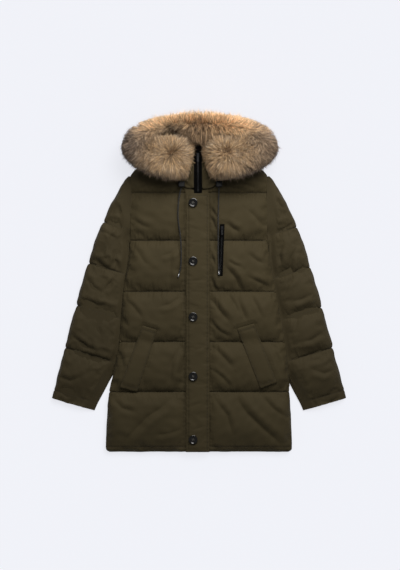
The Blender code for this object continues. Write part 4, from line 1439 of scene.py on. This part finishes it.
        made = bpy.data.objects.new(name, mesh)
        bpy.context.scene.collection.objects.link(made)
        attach(made, "coat")
        log.info("%s: %d strands", name, count)
        return made


# ---------------------------------------------------------------- fasteners

@dataclass
class Buttons:
    """Five dished four-hole buttons with their thread."""

    radius: float = 14.0
    thick: float = 4.6
    hole: float = 1.5
    hole_out: float = 2.9

    def disc(self) -> bmesh.types.BMesh:
        """One button at the origin."""
        r, h = self.radius, self.thick
        profile = ((0, 0), (r - 2.2, 0), (r - 0.6, 0.6), (r, 1.6), (r, h - 1.5), (r - 0.35, h - 0.5),
                   (r - 1.3, h),
                   (r - 2.4, h - 0.1), (r - 3.3, h - 0.6), (r - 4.3, h - 1.5), (r - 5.2, h - 1.75),
                   (0, h - 1.8))
        body = self._temporary("disc", turned_shape(profile, 40))
        for k in range(4):
            angle = math.radians(45 + 90 * k)
            pin = bmesh.new()
            bmesh.ops.create_cone(pin, cap_ends=True, segments=14, radius1=self.hole * MM,
                                  radius2=self.hole * MM,
                                  depth=12 * MM)
            bmesh.ops.translate(pin, vec=(self.hole_out * math.cos(angle) * MM,
                                          self.hole_out * math.sin(angle) * MM, h / 2 * MM), verts=pin.verts)
            drill = self._temporary("pin", pin)
            cut = body.modifiers.new("hole", "BOOLEAN")
            cut.operation, cut.object, cut.solver = "DIFFERENCE", drill, "EXACT"
        graph = bpy.context.evaluated_depsgraph_get()
        done = bmesh.new()
        done.from_mesh(body.evaluated_get(graph).to_mesh())
        for obj in [body] + [m.object for m in body.modifiers]:
            bpy.data.meshes.remove(obj.data)
        return done

    def _temporary(self, name: str, bm: bmesh.types.BMesh) -> bpy.types.Object:
        """An object for a moment."""
        mesh = bpy.data.meshes.new(name)
        bm.to_mesh(mesh)
        bm.free()
        obj = bpy.data.objects.new(name, mesh)
        bpy.context.scene.collection.objects.link(obj)
        return obj

    def thread(self) -> bmesh.types.BMesh:
        """The two bars of thread across one button's middle."""
        bars = []
        for side in (-1, 1):
            for lane in (-0.5, 0.0, 0.5):
                bar = bmesh.new()
                bmesh.ops.create_uvsphere(bar, u_segments=8, v_segments=8, radius=0.5 * MM)
                bmesh.ops.scale(bar, vec=(1.1, 8.2, 1.3), verts=bar.verts)
                reach = self.hole_out * 0.7071
                bmesh.ops.translate(bar, vec=((side * reach + lane) * MM, 0, (self.thick - 1.5) * MM),
                                    verts=bar.verts)
                bars.append(bar)
        return join(bars)

    def build(self, palette: Palette) -> None:
        """Make the buttons and their thread where the CAD solids are."""
        disc, thread = self.disc(), self.thread()
        threads = []
        for k in range(1, 6):
            low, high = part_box(f"button_{k}")
            spot = Matrix.Translation(((low.x + high.x) / 2, (low.y + high.y) / 2, low.z))
            turn = Matrix.Rotation(math.radians((12, -8, 20, -3, 9)[k - 1]), 4, "Z")
            one = disc.copy()
            bmesh.ops.transform(one, matrix=spot @ turn, verts=one.verts)
            add_piece(f"button_{k}_disc", one, palette.resin, (f"button_{k}",), sharp=40)
            sewn = thread.copy()
            bmesh.ops.transform(sewn, matrix=spot @ turn, verts=sewn.verts)
            threads.append(sewn)
        add_piece("button_threads", join(threads), palette.button_thread)
        disc.free()
        thread.free()


@dataclass
class Zips:
    """Teeth of the two zips; their tapes, sliders and pull tabs are the CAD's own shapes."""

    pitch: float = 2.0

    def teeth(self, name: str, foot: Point2, top: Point2, tape: str, tooth: tuple[float, float, float],
              offset: float, finish: bpy.types.Material) -> None:
        """A closed row of teeth.

        Args:
            name: the piece's name.
            foot: where the row starts on the draft.
            top: where it ends.
            tape: the CAD tape that it is on.
            tooth: a tooth's width, length and height.
            offset: how far each tooth is to its own side.
            finish: the teeth's material.
        """
        surface = Surface(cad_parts[tape])
        way = Vector((top[0] - foot[0], top[1] - foot[1], 0)).normalized()
        across = Vector((way.y, -way.x, 0))
        count = int(math.dist(foot, top) / (self.pitch / 2))
        places = []
        for k in range(count):
            share = k / count
            x, y = foot[0] + (top[0] - foot[0]) * share, foot[1] + (top[1] - foot[1]) * share
            z = surface.top(x, y)
            ahead = surface.top(x + way.x * 2, y + way.y * 2)
            slope = Vector((way.x, way.y, (ahead - z) / 2)).normalized()
            side = across * (offset * (1 if k % 2 else -1) * MM)
            turn = Matrix((across, slope, across.cross(slope))).transposed().to_4x4()
            places.append(Matrix.Translation(place(x, y, z + 0.35) + side) @ turn)
        block = bmesh.new()
        bmesh.ops.create_cube(block, size=1.0)
        bmesh.ops.scale(block, vec=[t * MM for t in tooth], verts=block.verts)
        bmesh.ops.bevel(block, geom=block.edges, offset=0.22 * MM, segments=1, profile=0.5, affect="EDGES",
                        material=-1)
        add_piece(name, repeated(block, places), finish)

    def build(self, palette: Palette) -> None:
        """Make the teeth and dress the CAD parts."""
        main_low, main_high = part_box("main_zip")
        middle = (main_low.x + main_high.x) / 2 / MM
        self.teeth("main_zip_teeth", (middle, 291), (middle, 396), "main_zip", (3.4, 1.25, 1.7), 1.15,
                   palette.black_metal)
        self.teeth("chest_zip_teeth", (66.7, 32), (72.2, 169), "chest_zip", (3.0, 0.85, 1.1), 0.7,
                   palette.plastic)
        for node, finish in {
            "main_zip": palette.tape, "chest_zip": palette.tape, "main_zip_slider": palette.black_metal,
            "chest_zip_slider": palette.black_metal, "main_zip_pull": palette.black_metal,
            "chest_zip_pull": palette.black_metal,
        }.items():
            dress(node, finish)


def dress(node: str, finish: bpy.types.Material) -> None:
    """Give a CAD node that stays in view its finish."""
    for place_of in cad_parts[node].material_slots:
        place_of.material = finish


@dataclass
class Drawcord:
    """One of the hood's cords: it comes out of the collar, through its lock, and ends in a metal tip."""

    side: str
    route: tuple[tuple[float, float, float], ...]
    diameter: float = 4.0
    tip: tuple[float, float] = (5.0, 13.0)

    def smooth(self) -> list[Vector]:
        """Points a few millimetres apart along a smooth curve through the route, on the draft."""
        route = [Vector(p) for p in self.route]
        ends = [route[0] * 2 - route[1]] + route + [route[-1] * 2 - route[-2]]
        dense = []
        for a, b, c, d in zip(ends, ends[1:], ends[2:], ends[3:]):
            for k in range(5):
                t = k / 5
                dense.append(0.5 * (2 * b + (c - a) * t + (2 * a - 5 * b + 4 * c - d) * t**2
                                    + (3 * b - a - 3 * c + d) * t**3))
        return dense + [route[-1]]

    def build(self, palette: Palette) -> None:
        """Make the cord and its tip."""
        points = [place(*p) for p in self.smooth()]
        curve = bpy.data.curves.new(f"drawcord_{self.side}_braid", "CURVE")
        curve.dimensions = "3D"
        curve.bevel_depth = self.diameter / 2 * MM
        curve.bevel_resolution = 3
        curve.use_fill_caps = True
        spline = curve.splines.new("POLY")
        spline.points.add(len(points) - 1)
        for point, co in zip(spline.points, points):
            point.co = (*co, 1.0)
        curve.materials.append(palette.braid)
        cord = bpy.data.objects.new(curve.name, curve)
        bpy.context.scene.collection.objects.link(cord)
        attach(cord, "coat")
        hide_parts(f"drawcord_{self.side}")
        tip = self.metal_tip(palette)
        dress(f"cord_lock_{self.side}", palette.plastic)

    def metal_tip(self, palette: Palette) -> bpy.types.Object:
        """The crimped metal tube on the cord's end."""
        r, length = self.tip[0] / 2, self.tip[1]
        bm = turned_shape(((0, 0), (r - 0.5, 0), (r, 0.35), (r, 2.4), (r - 0.28, 2.8), (r, 3.2), (r, 4.6),
                           (r - 0.28, 5.0), (r, 5.4), (r, length - 0.9), (r - 0.35, length - 0.25),
                           (r - 1.1, length), (0, length)), 24)
        end, before = Vector(self.route[-1]), Vector(self.route[-2])
        way = (end - before).normalized()
        turn = Vector((0, 0, 1)).rotation_difference(way).to_matrix().to_4x4()
        bmesh.ops.transform(bm, matrix=Matrix.Translation(place(*(end + way * 0.4))) @ turn, verts=bm.verts)
        return add_piece(f"cord_tip_{self.side}_metal", bm, palette.bright_metal,
                         (f"cord_tip_{self.side}",), sharp=35)


# ---------------------------------------------------------------- studio

@dataclass
class Studio:
    """Pale floor, soft light, and a camera straight above."""

    aim: Point2 = (0.0035, -0.0055)
    height: float = 6.0
    lens: float = 120.9
    paper: tuple[float, float, float] = (0.86, 0.87, 0.92)

    def camera(self) -> None:
        """Hang the camera."""
        data = bpy.data.cameras.new("overhead")
        data.lens, data.sensor_width = self.lens, 36.0
        made = bpy.data.objects.new("overhead", data)
        made.location = (*self.aim, self.height)
        bpy.context.scene.collection.objects.link(made)
        bpy.context.scene.camera = made

    def lamp(self, kind: str, name: str, at: Sequence[float], size: float, power: float,
             colour: Sequence[float]) -> bpy.types.Object:
        """A soft lamp aimed at the coat.

        Args:
            kind: SUN or AREA.
            name: its name.
            at: its place.
            size: its size in metres, or a sun's spread in radians.
            power: its strength.
            colour: its colour.

        Returns:
            The lamp.
        """
        data = bpy.data.lights.new(name, kind)
        setattr(data, "angle" if kind == "SUN" else "size", size)
        data.energy, data.color = power, colour
        made = bpy.data.objects.new(name, data)
        made.location = at
        made.rotation_euler = (-Vector(at)).to_track_quat("-Z", "Y").to_euler()
        bpy.context.scene.collection.objects.link(made)
        return made

    def reserve(self, lamp: bpy.types.Object, floor: bpy.types.Object, state: str) -> None:
        """Let a lamp light only the floor (INCLUDE), or everything but the floor (EXCLUDE)."""
        group = bpy.data.collections.new(f"{lamp.name} receivers")
        group.objects.link(floor)
        lamp.light_linking.receiver_collection = group
        group.collection_objects[0].light_linking.link_state = state

    def build(self) -> None:
        """Lay the floor, light it and hang the camera."""
        bm = bmesh.new()
        bmesh.ops.create_grid(bm, x_segments=1, y_segments=1, size=40.0)
        bmesh.ops.translate(bm, vec=(0, 0, -0.0006), verts=bm.verts)
        mesh = bpy.data.meshes.new("floor")
        bm.to_mesh(mesh)
        bm.free()
        g = Graph("pale floor")
        g.feed(g.shader.inputs["Emission Color"], self.paper)
        mesh.materials.append(g.finish(tuple(0.45 * c for c in self.paper), 0.9, None, Emission_Strength=0.85,
                                       Specular_IOR_Level=0.0))
        floor = bpy.data.objects.new("floor", mesh)
        bpy.context.scene.collection.objects.link(floor)
        key = self.lamp("AREA", "key", (0.30, 1.14, 1.32), 1.15, 29.6, (1.0, 0.985, 0.96))
        self.reserve(key, floor, "EXCLUDE")
        sun = self.lamp("SUN", "floor sun", (0.8, 1.3, 2.6), 0.6, 0.86, (1.0, 1.0, 1.0))
        self.reserve(sun, floor, "INCLUDE")
        world = bpy.data.worlds.new("studio")
        world.use_nodes = True
        world.node_tree.nodes["Background"].inputs["Color"].default_value = (0.96, 0.98, 1.0, 1.0)
        world.node_tree.nodes["Background"].inputs["Strength"].default_value = 0.15
        bpy.context.scene.world = world
        bpy.context.scene.view_settings.view_transform = "Standard"
        self.camera()


# ---------------------------------------------------------------- the coat

CORD_ROUTES = {
    "right": ((-54, 304, 45.5), (-57, 294, 44.5), (-60, 282, 43.5), (-62.5, 266, 45.0), (-64, 248, 46.5),
              (-65, 230, 47.0), (-65, 212, 47.0), (-63.5, 194, 46.5), (-61, 176, 45.5), (-58.5, 158, 44.5),
              (-56.5, 140, 43.5), (-55.5, 122, 44.5), (-55, 104, 45.5), (-55, 86, 46.0), (-55.5, 68, 46.0),
              (-57, 52, 46.0), (-61, 37, 45.5)),
    "left": ((63, 304, 45.5), (62.5, 294, 44.5), (62, 282, 43.5), (61.5, 266, 45.0), (61, 248, 46.5),
             (60.5, 230, 47.5), (60, 212, 48.5), (60, 194, 49.5), (60, 176, 49.5), (60, 158, 49.0),
             (60, 140, 48.5), (60, 122, 48.5), (60, 104, 48.5), (60.5, 86, 48.5), (61, 70, 48.5),
             (61.5, 56, 48.5), (62, 44, 48.5)),
}
WELTS = {
    "right": ((-176, -126), (-130, -140), (-192, -334), (-247, -320)),
    "left": ((118, -136), (172, -120), (243, -304), (192, -324)),
}
FRONT_CREASES = {
    "left": (
        Crease(((38, 240), (46, 224), (57, 208)), 4.0, 7), Crease(((37, 214), (44, 194), (53, 170)), 4.4, 8),
        Crease(((84, 194), (104, 176), (126, 164)), 5.5, 11),
        Crease(((90, 76), (110, 62), (132, 55)), 4.2, 8),
        Crease(((82, 58), (116, 18), (128, -18)), 6.8, 13), Crease(((40, 16), (46, -4), (56, -20)), 4.6, 8),
        Crease(((38, 96), (44, 76), (50, 58)), 3.4, 7), Crease(((30, -34), (65, -82), (96, -116)), 6.8, 13),
        Crease(((88, -26), (110, -58), (124, -88)), 4.6, 10),
        Crease(((114, -28), (137, -86), (148, -112)), 5.4, 11),
        Crease(((160, -30), (180, -66), (196, -104)), 3.6, 10),
        Crease(((34, -116), (66, -146), (100, -164)), 3.6, 9),
        Crease(((36, -186), (66, -214), (104, -256)), 5.4, 12),
        Crease(((40, -262), (74, -290), (98, -318)), 3.6, 9),
        Crease(((113, -348), (150, -400), (194, -443), (256, -498)), 7.0, 16),
        Crease(((46, -352), (88, -406), (104, -468)), 4.4, 12),
        Crease(((196, -346), (232, -386), (270, -412)), 4.0, 11),
        Crease(((150, 236), (176, 210), (206, 178)), 3.6, 12),
        Crease(((150, 100), (182, 74), (216, 62)), 3.4, 10),
        Crease(((150, 26), (190, 6), (222, -8)), 3.6, 10),
        Crease(((104, 332), (140, 314), (182, 300)), 3.4, 10),
        Crease(((70, 318), (110, 300), (150, 294)), 2.6, 8),
        Crease(((230, -190), (248, -232), (252, -280)), 3.2, 10),
    ),
    "right": (
        Crease(((-82, -350), (-120, -386), (-157, -409), (-230, -486)), 6.0, 15),
        Crease(((-48, -448), (-90, -462), (-132, -468)), 2.2, 10),
        Crease(((-78, 284), (-74, 200), (-78, 100)), 3.2, 13),
        Crease(((-92, 126), (-88, 60), (-94, -12)), 2.6, 13),
        Crease(((-60, 124), (-84, 100), (-120, 88)), 3.2, 10),
        Crease(((-208, 206), (-176, 184), (-150, 176)), 3.4, 11),
        Crease(((-54, -36), (-90, -60), (-128, -70)), 3.4, 10),
        Crease(((-234, -40), (-200, -72), (-176, -106)), 3.4, 10),
        Crease(((-56, -190), (-84, -240), (-92, -312)), 4.0, 12),
        Crease(((-272, -350), (-240, -384), (-200, -396)), 3.6, 11),
        Crease(((-100, 330), (-140, 316), (-184, 302)), 3.4, 10),
        Crease(((-70, 318), (-110, 304), (-150, 300)), 2.6, 8),
        Crease(((-200, 118), (-170, 70), (-150, 60)), 3.0, 12),
        Crease(((-250, -200), (-236, -250), (-244, -300)), 3.2, 10),
    ),
}
SLEEVE_CREASES = {
    "left": (
        Crease(((308, 122), (288, 84), (286, 48), (240, 24)), 6.0, 11),
        Crease(((231, 272), (246, 258), (260, 240)), 5.6, 9),
        Crease(((236, 302), (258, 286), (268, 262)), 4.4, 8),
        Crease(((226, 240), (236, 214), (240, 186)), 4.2, 9),
        Crease(((300, 196), (270, 176), (246, 166)), 4.0, 10),
        Crease(((352, -30), (320, -46), (290, -52)), 4.4, 11),
        Crease(((384, -150), (350, -172), (318, -178)), 4.0, 11),
        Crease(((330, -84), (306, -106), (296, -144)), 3.8, 10),
        Crease(((430, -262), (390, -276), (350, -262)), 3.8, 11),
        Crease(((300, 24), (276, 4), (266, -28)), 3.8, 10),
        Crease(((262, 128), (250, 96), (256, 60)), 4.0, 10),
        Crease(((400, -210), (376, -232), (340, -238)), 3.4, 10),
        Crease(((440, -350), (410, -366), (380, -364)), 3.0, 9),
    ),
    "right": (
        Crease(((-405, -202), (-330, -232), (-268, -242)), 5.2, 12),
        Crease(((-400, -156), (-350, -196), (-318, -204)), 4.6, 10),
        Crease(((-251, 248), (-226, 184), (-220, 132)), 6.4, 12),
        Crease(((-236, 300), (-256, 284), (-268, 262)), 4.2, 9),
        Crease(((-330, 80), (-300, 62), (-276, 34)), 4.2, 11),
        Crease(((-372, -40), (-330, -62), (-290, -66)), 4.4, 11),
        Crease(((-262, 24), (-280, -4), (-296, -20)), 3.8, 10),
        Crease(((-440, -286), (-400, -300), (-366, -284)), 3.8, 11),
        Crease(((-322, 170), (-290, 162), (-258, 146)), 4.0, 10),
        Crease(((-250, 112), (-262, 84), (-256, 50)), 4.0, 10),
        Crease(((-300, -96), (-318, -130), (-306, -160)), 3.6, 10),
        Crease(((-444, -352), (-414, -368), (-384, -362)), 3.0, 9),
        Crease(((-350, 20), (-330, -10), (-300, -24)), 3.4, 10),
    ),
}


class Coat:
    """The parka's cloth: back, fronts, sleeves, storm flap, collar, hood and pocket welts."""

    def __init__(self, palette: Palette) -> None:
        """Keep the finishes."""
        self.palette = palette
        self.cloths: dict[str, bpy.types.Object] = {}

    def front_seams(self, side: str) -> tuple[Seam, ...]:
        """A front's sewing."""
        sign, strip = SIGN[side], STRIP_X[side]
        quilting = tuple(Seam(((strip, y), (sign * 300.0, y))) for y in QUILT_Y)
        return quilting + (
            Seam(((sign * 5.0, HEM_STITCH_Y), (sign * 300.0, HEM_STITCH_Y)), Sewing.TOPSTITCHED),
            Seam(((strip, HEM_Y), (strip, 296.0)), Sewing.JOINED),
        )

    def front(self, side: str) -> bpy.types.Object:
        """One front."""
        strip = STRIP_X[side]
        on_top = ("storm_flap", f"pocket_welt_{side}", f"drawcord_{side}", f"cord_tip_{side}",
                  f"cord_lock_{side}")
        panel = Front(
            node=f"front_{side}", rows=[HEM_Y, HEM_Y + 1.2, HEM_Y + 3.2, HEM_Y + 6.5] +
            stations(HEM_Y + 10, QUILT_Y[0], (HEM_STITCH_Y, *QUILT_Y), 6.0),
            soft=(42, 0) if side == "right" else (0, 42), seams=self.front_seams(side),
            creases=FRONT_CREASES[side], heads=tuple(k / 15 for k in range(1, 16)),
            flat=(strip - 3, 0) if side == "right" else (0, strip + 3), seed=3 if side == "right" else 4,
            on_top=on_top + (("chest_zip", "chest_zip_slider") if side == "left" else ()))
        return panel.build(self.palette.shell)

    def back(self) -> bpy.types.Object:
        """The back, seen only from behind."""
        seams = tuple(Seam(((-300.0, y), (300.0, y))) for y in QUILT_Y)
        seams += (Seam(((-300.0, HEM_STITCH_Y), (300.0, HEM_STITCH_Y)), Sewing.TOPSTITCHED),)
        creases = tuple(Crease(tuple((-x, y + 24) for x, y in c.points), c.depth * 0.8, c.width + 2)
                        for side in ("right", "left") for c in FRONT_CREASES[side])
        panel = Panel(node="back", rows=stations(HEM_Y, 300.0, (HEM_STITCH_Y, *QUILT_Y), 8.0), soft=(40, 40),
                      seams=seams, creases=creases, heads=tuple(k / 8 for k in range(1, 9)), step=8.0,
                      face_down=True, unevenness=1.0, seed=6)
        return panel.build(self.palette.shell)

    def sleeve(self, side: str) -> bpy.types.Object:
        """One sleeve."""
        angle = -SIGN[side] * ARM_ANGLE
        c, s = math.cos(angle), math.sin(angle)
        lines = [-t for t in SLEEVE_QUILT[side]]

        def across(at: float) -> tuple[Point2, Point2]:
            """A line straight across the arm."""
            return tuple((w * c + at * s, at * c - w * s) for w in (SIGN[side] * 120.0, SIGN[side] * 420.0))

        low, high = arm_reach(f"sleeve_{side}", angle)
        rows = [low + 0.3, low + 1.6, low + 4.0] + stations(low + 8.0, high - 0.8, (-CUFF_STITCH, *lines),
                                                            6.0)
        seams = tuple(Seam(across(at)) for at in lines) + (Seam(across(-CUFF_STITCH), Sewing.TOPSTITCHED),)
        sleeve = Sleeve(node=f"sleeve_{side}", rows=rows, soft=(24, 36), seams=seams,
                        creases=SLEEVE_CREASES[side], angle=angle, side=side, seed=7 if side == "right" else 8)
        return sleeve.build(self.palette.sleeve[side])

    def flap(self) -> bpy.types.Object:
        """The storm flap over the zip."""
        seams = (Seam(((26.3, HEM_Y + 6), (26.3, 278.0), (-33.0, 278.0), (-33.0, HEM_Y + 6)),
                      Sewing.TOPSTITCHED),)
        creases = (Crease(((-30, 180), (10, 168)), 0.9, 7), Crease(((20, 20), (-20, 10)), 0.9, 8),
                   Crease(((-32, -60), (4, -72)), 0.9, 7), Crease(((24, -190), (-16, -204)), 1.0, 8),
                   Crease(((-30, -380), (12, -366)), 1.0, 8), Crease(((20, -440), (-22, -452)), 1.0, 7))
        panel = Panel(node="storm_flap", rows=[HEM_Y, HEM_Y + 1, HEM_Y + 2.6] + stations(HEM_Y + 5, 285.0,
            (278.0,), 5.0),
                      soft=(5, 5), seams=seams, creases=creases,
                      step=5.0, unevenness=0.35, cap=0.8, pressure=1.0,
                      seed=9)
        return panel.build(self.palette.shell)

    def build(self) -> None:
        """Make all the cloth and sew it."""
        make = self.cloths
        make["back"] = self.back()
        for side in ("right", "left"):
            make[f"front_{side}"] = self.front(side)
            make[f"sleeve_{side}"] = self.sleeve(side)
        make["flap"] = self.flap()
        make["collar"] = Refined("collar", cuts=7, seams=(Seam(((-66, 409), (66, 409)), Sewing.TOPSTITCHED),),
                                 creases=(Crease(((-56, 330), (-38, 313), (-19, 299)), 5.5, 6, 0.4),
                                          Crease(((-50, 352), (-36, 334), (-24, 312)), 3.0, 7, 0.4),
                                          Crease(((22, 300), (38, 312), (56, 326)), 5.5, 6, 0.4),
                                          Crease(((26, 322), (38, 340), (50, 356)), 3.0, 7, 0.4)),
                                 seed=21).build(self.palette.shell)
        make["hood"] = Refined("hood", cuts=3, unevenness=1.2, seed=22,
                               all_round=True).build(self.palette.shell)
        self.line_hood(make["hood"])
        for side in ("right", "left"):
            corners = WELTS[side]
            centre = tuple(sum(axis) / 4 for axis in zip(*corners))
            inset = tuple(tuple(p + (q - p) * 0.10 for p, q in zip(corner, centre)) for corner in corners)
            seam = Seam(inset + inset[:1], Sewing.TOPSTITCHED)
            make[f"welt_{side}"] = Refined(f"pocket_welt_{side}", cuts=2, smoothing=1, seams=(seam,), seed=30,
                                           unevenness=0.3).build(self.palette.shell, longest=7.0)
            self.sew_welt(side, seam)
        self.sew()

    def line_hood(self, hood: bpy.types.Object) -> None:
        """Give the inside of the hood, within the ring of fur, its lining."""
        hood.data.materials.append(self.palette.lining)
        for face in hood.data.polygons:
            x, y = face.center.x / MM, face.center.y / MM - DATUM_Y
            inside = math.hypot((x - 3) / 185, (y - 432) / 70) < 1
            face.material_index = 1 if inside and face.normal.z > 0.3 else 0

    def sew_welt(self, side: str, seam: Seam) -> None:
        """Thread round a pocket's welt."""
        Stitching().sew(f"welt_{side}_thread", [self.cloths[f"welt_{side}"]], [seam], self.palette.thread)

    def sew(self) -> None:
        """Thread along the quilting, hems, cuffs and flap."""
        make, thread = self.cloths, self.palette.thread
        for side in ("right", "left"):
            seams = [s for s in self.front_seams(side) if s.kind is not Sewing.JOINED]
            Stitching().sew(f"front_{side}_thread", [make[f"front_{side}"]], seams, thread)
            angle = -SIGN[side] * ARM_ANGLE
            c, s = math.cos(angle), math.sin(angle)
            rows = [-t for t in (*SLEEVE_QUILT[side], CUFF_STITCH)]
            lines = [Seam(tuple((w * c + at * s, at * c - w * s) for w in (SIGN[side] * 140.0,
                SIGN[side] * 400.0)))
                     for at in rows]
            Stitching().sew(f"sleeve_{side}_thread", [make[f"sleeve_{side}"]], lines, thread)
        flap = Seam(((26.3, HEM_Y + 6), (26.3, 278.0), (-33.0, 278.0)), Sewing.TOPSTITCHED)
        Stitching().sew("flap_thread", [make["flap"]], [flap], thread)
        Stitching().sew("back_thread", [make["back"]],
                        [Seam(((-290.0, y), (290.0, y))) for y in (*QUILT_Y,
                                                                   HEM_STITCH_Y)], thread, below=True)


def arm_reach(node: str, angle: float) -> tuple[float, float]:
    """How far a node reaches along a turned axis, in millimetres."""
    points = np.array([v.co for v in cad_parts[node].data.vertices]) / MM - (0, DATUM_Y, 0)
    along = points[:, 0] * math.sin(angle) + points[:, 1] * math.cos(angle)
    return float(along.min()), float(along.max())


@dataclass
class Front(Panel):
    """A front, pressed down under what lies on it."""

    on_top: tuple[str, ...] = ()

    def heights(self, plan: np.ndarray, under: bool) -> np.ndarray:
        """Height, with the hem's edge rolled."""
        z = super().heights(plan, under)
        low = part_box(self.node)[0].z / MM
        roll = np.clip((plan[..., 1] - HEM_Y) / 9.0, 0, 1)
        return low + (z - low) * (0.25 + 0.75 * np.sqrt(1 - (1 - roll) ** 2))

    def work(self, bm: bmesh.types.BMesh, way: float = 1.0) -> np.ndarray:
        """Sew, crease, then press."""
        near = super().work(bm, way)
        above = Surface(*(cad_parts[name] for name in self.on_top))
        excess = np.zeros(len(bm.verts))
        for k, vert in enumerate(bm.verts):
            limit = above.under(vert.co.x / MM, vert.co.y / MM - DATUM_Y)
            if not math.isnan(limit):
                excess[k] = max(0.0, vert.co.z / MM - limit + 0.35)
        bm.verts.index_update()
        links = np.array([[e.verts[0].index, e.verts[1].index] for e in bm.edges])
        for _ in range(4):
            spread = excess.copy()
            np.maximum.at(spread, links[:, 0], 0.72 * excess[links[:, 1]])
            np.maximum.at(spread, links[:, 1], 0.72 * excess[links[:, 0]])
            excess = spread
        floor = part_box(self.node)[0].z / MM + 0.8
        for vert, drop in zip(bm.verts, excess):
            vert.co.z = max(floor * MM, vert.co.z - drop * MM) if drop else vert.co.z
        return near


def main() -> None:
    """Build the coat, its trim and its studio."""
    palette = Palette()
    Studio().build()
    for side, route in CORD_ROUTES.items():
        Drawcord(side, route).build(palette)
    Coat(palette).build()
    Zips().build(palette)
    Buttons().build(palette)
    ruff = Ruff()
    ruff.core(palette.under_fur)
    ruff.grow(palette.hair)


if __name__ == "__main__":
    logging.basicConfig(level=logging.INFO, format="%(name)s %(message)s")
    main()
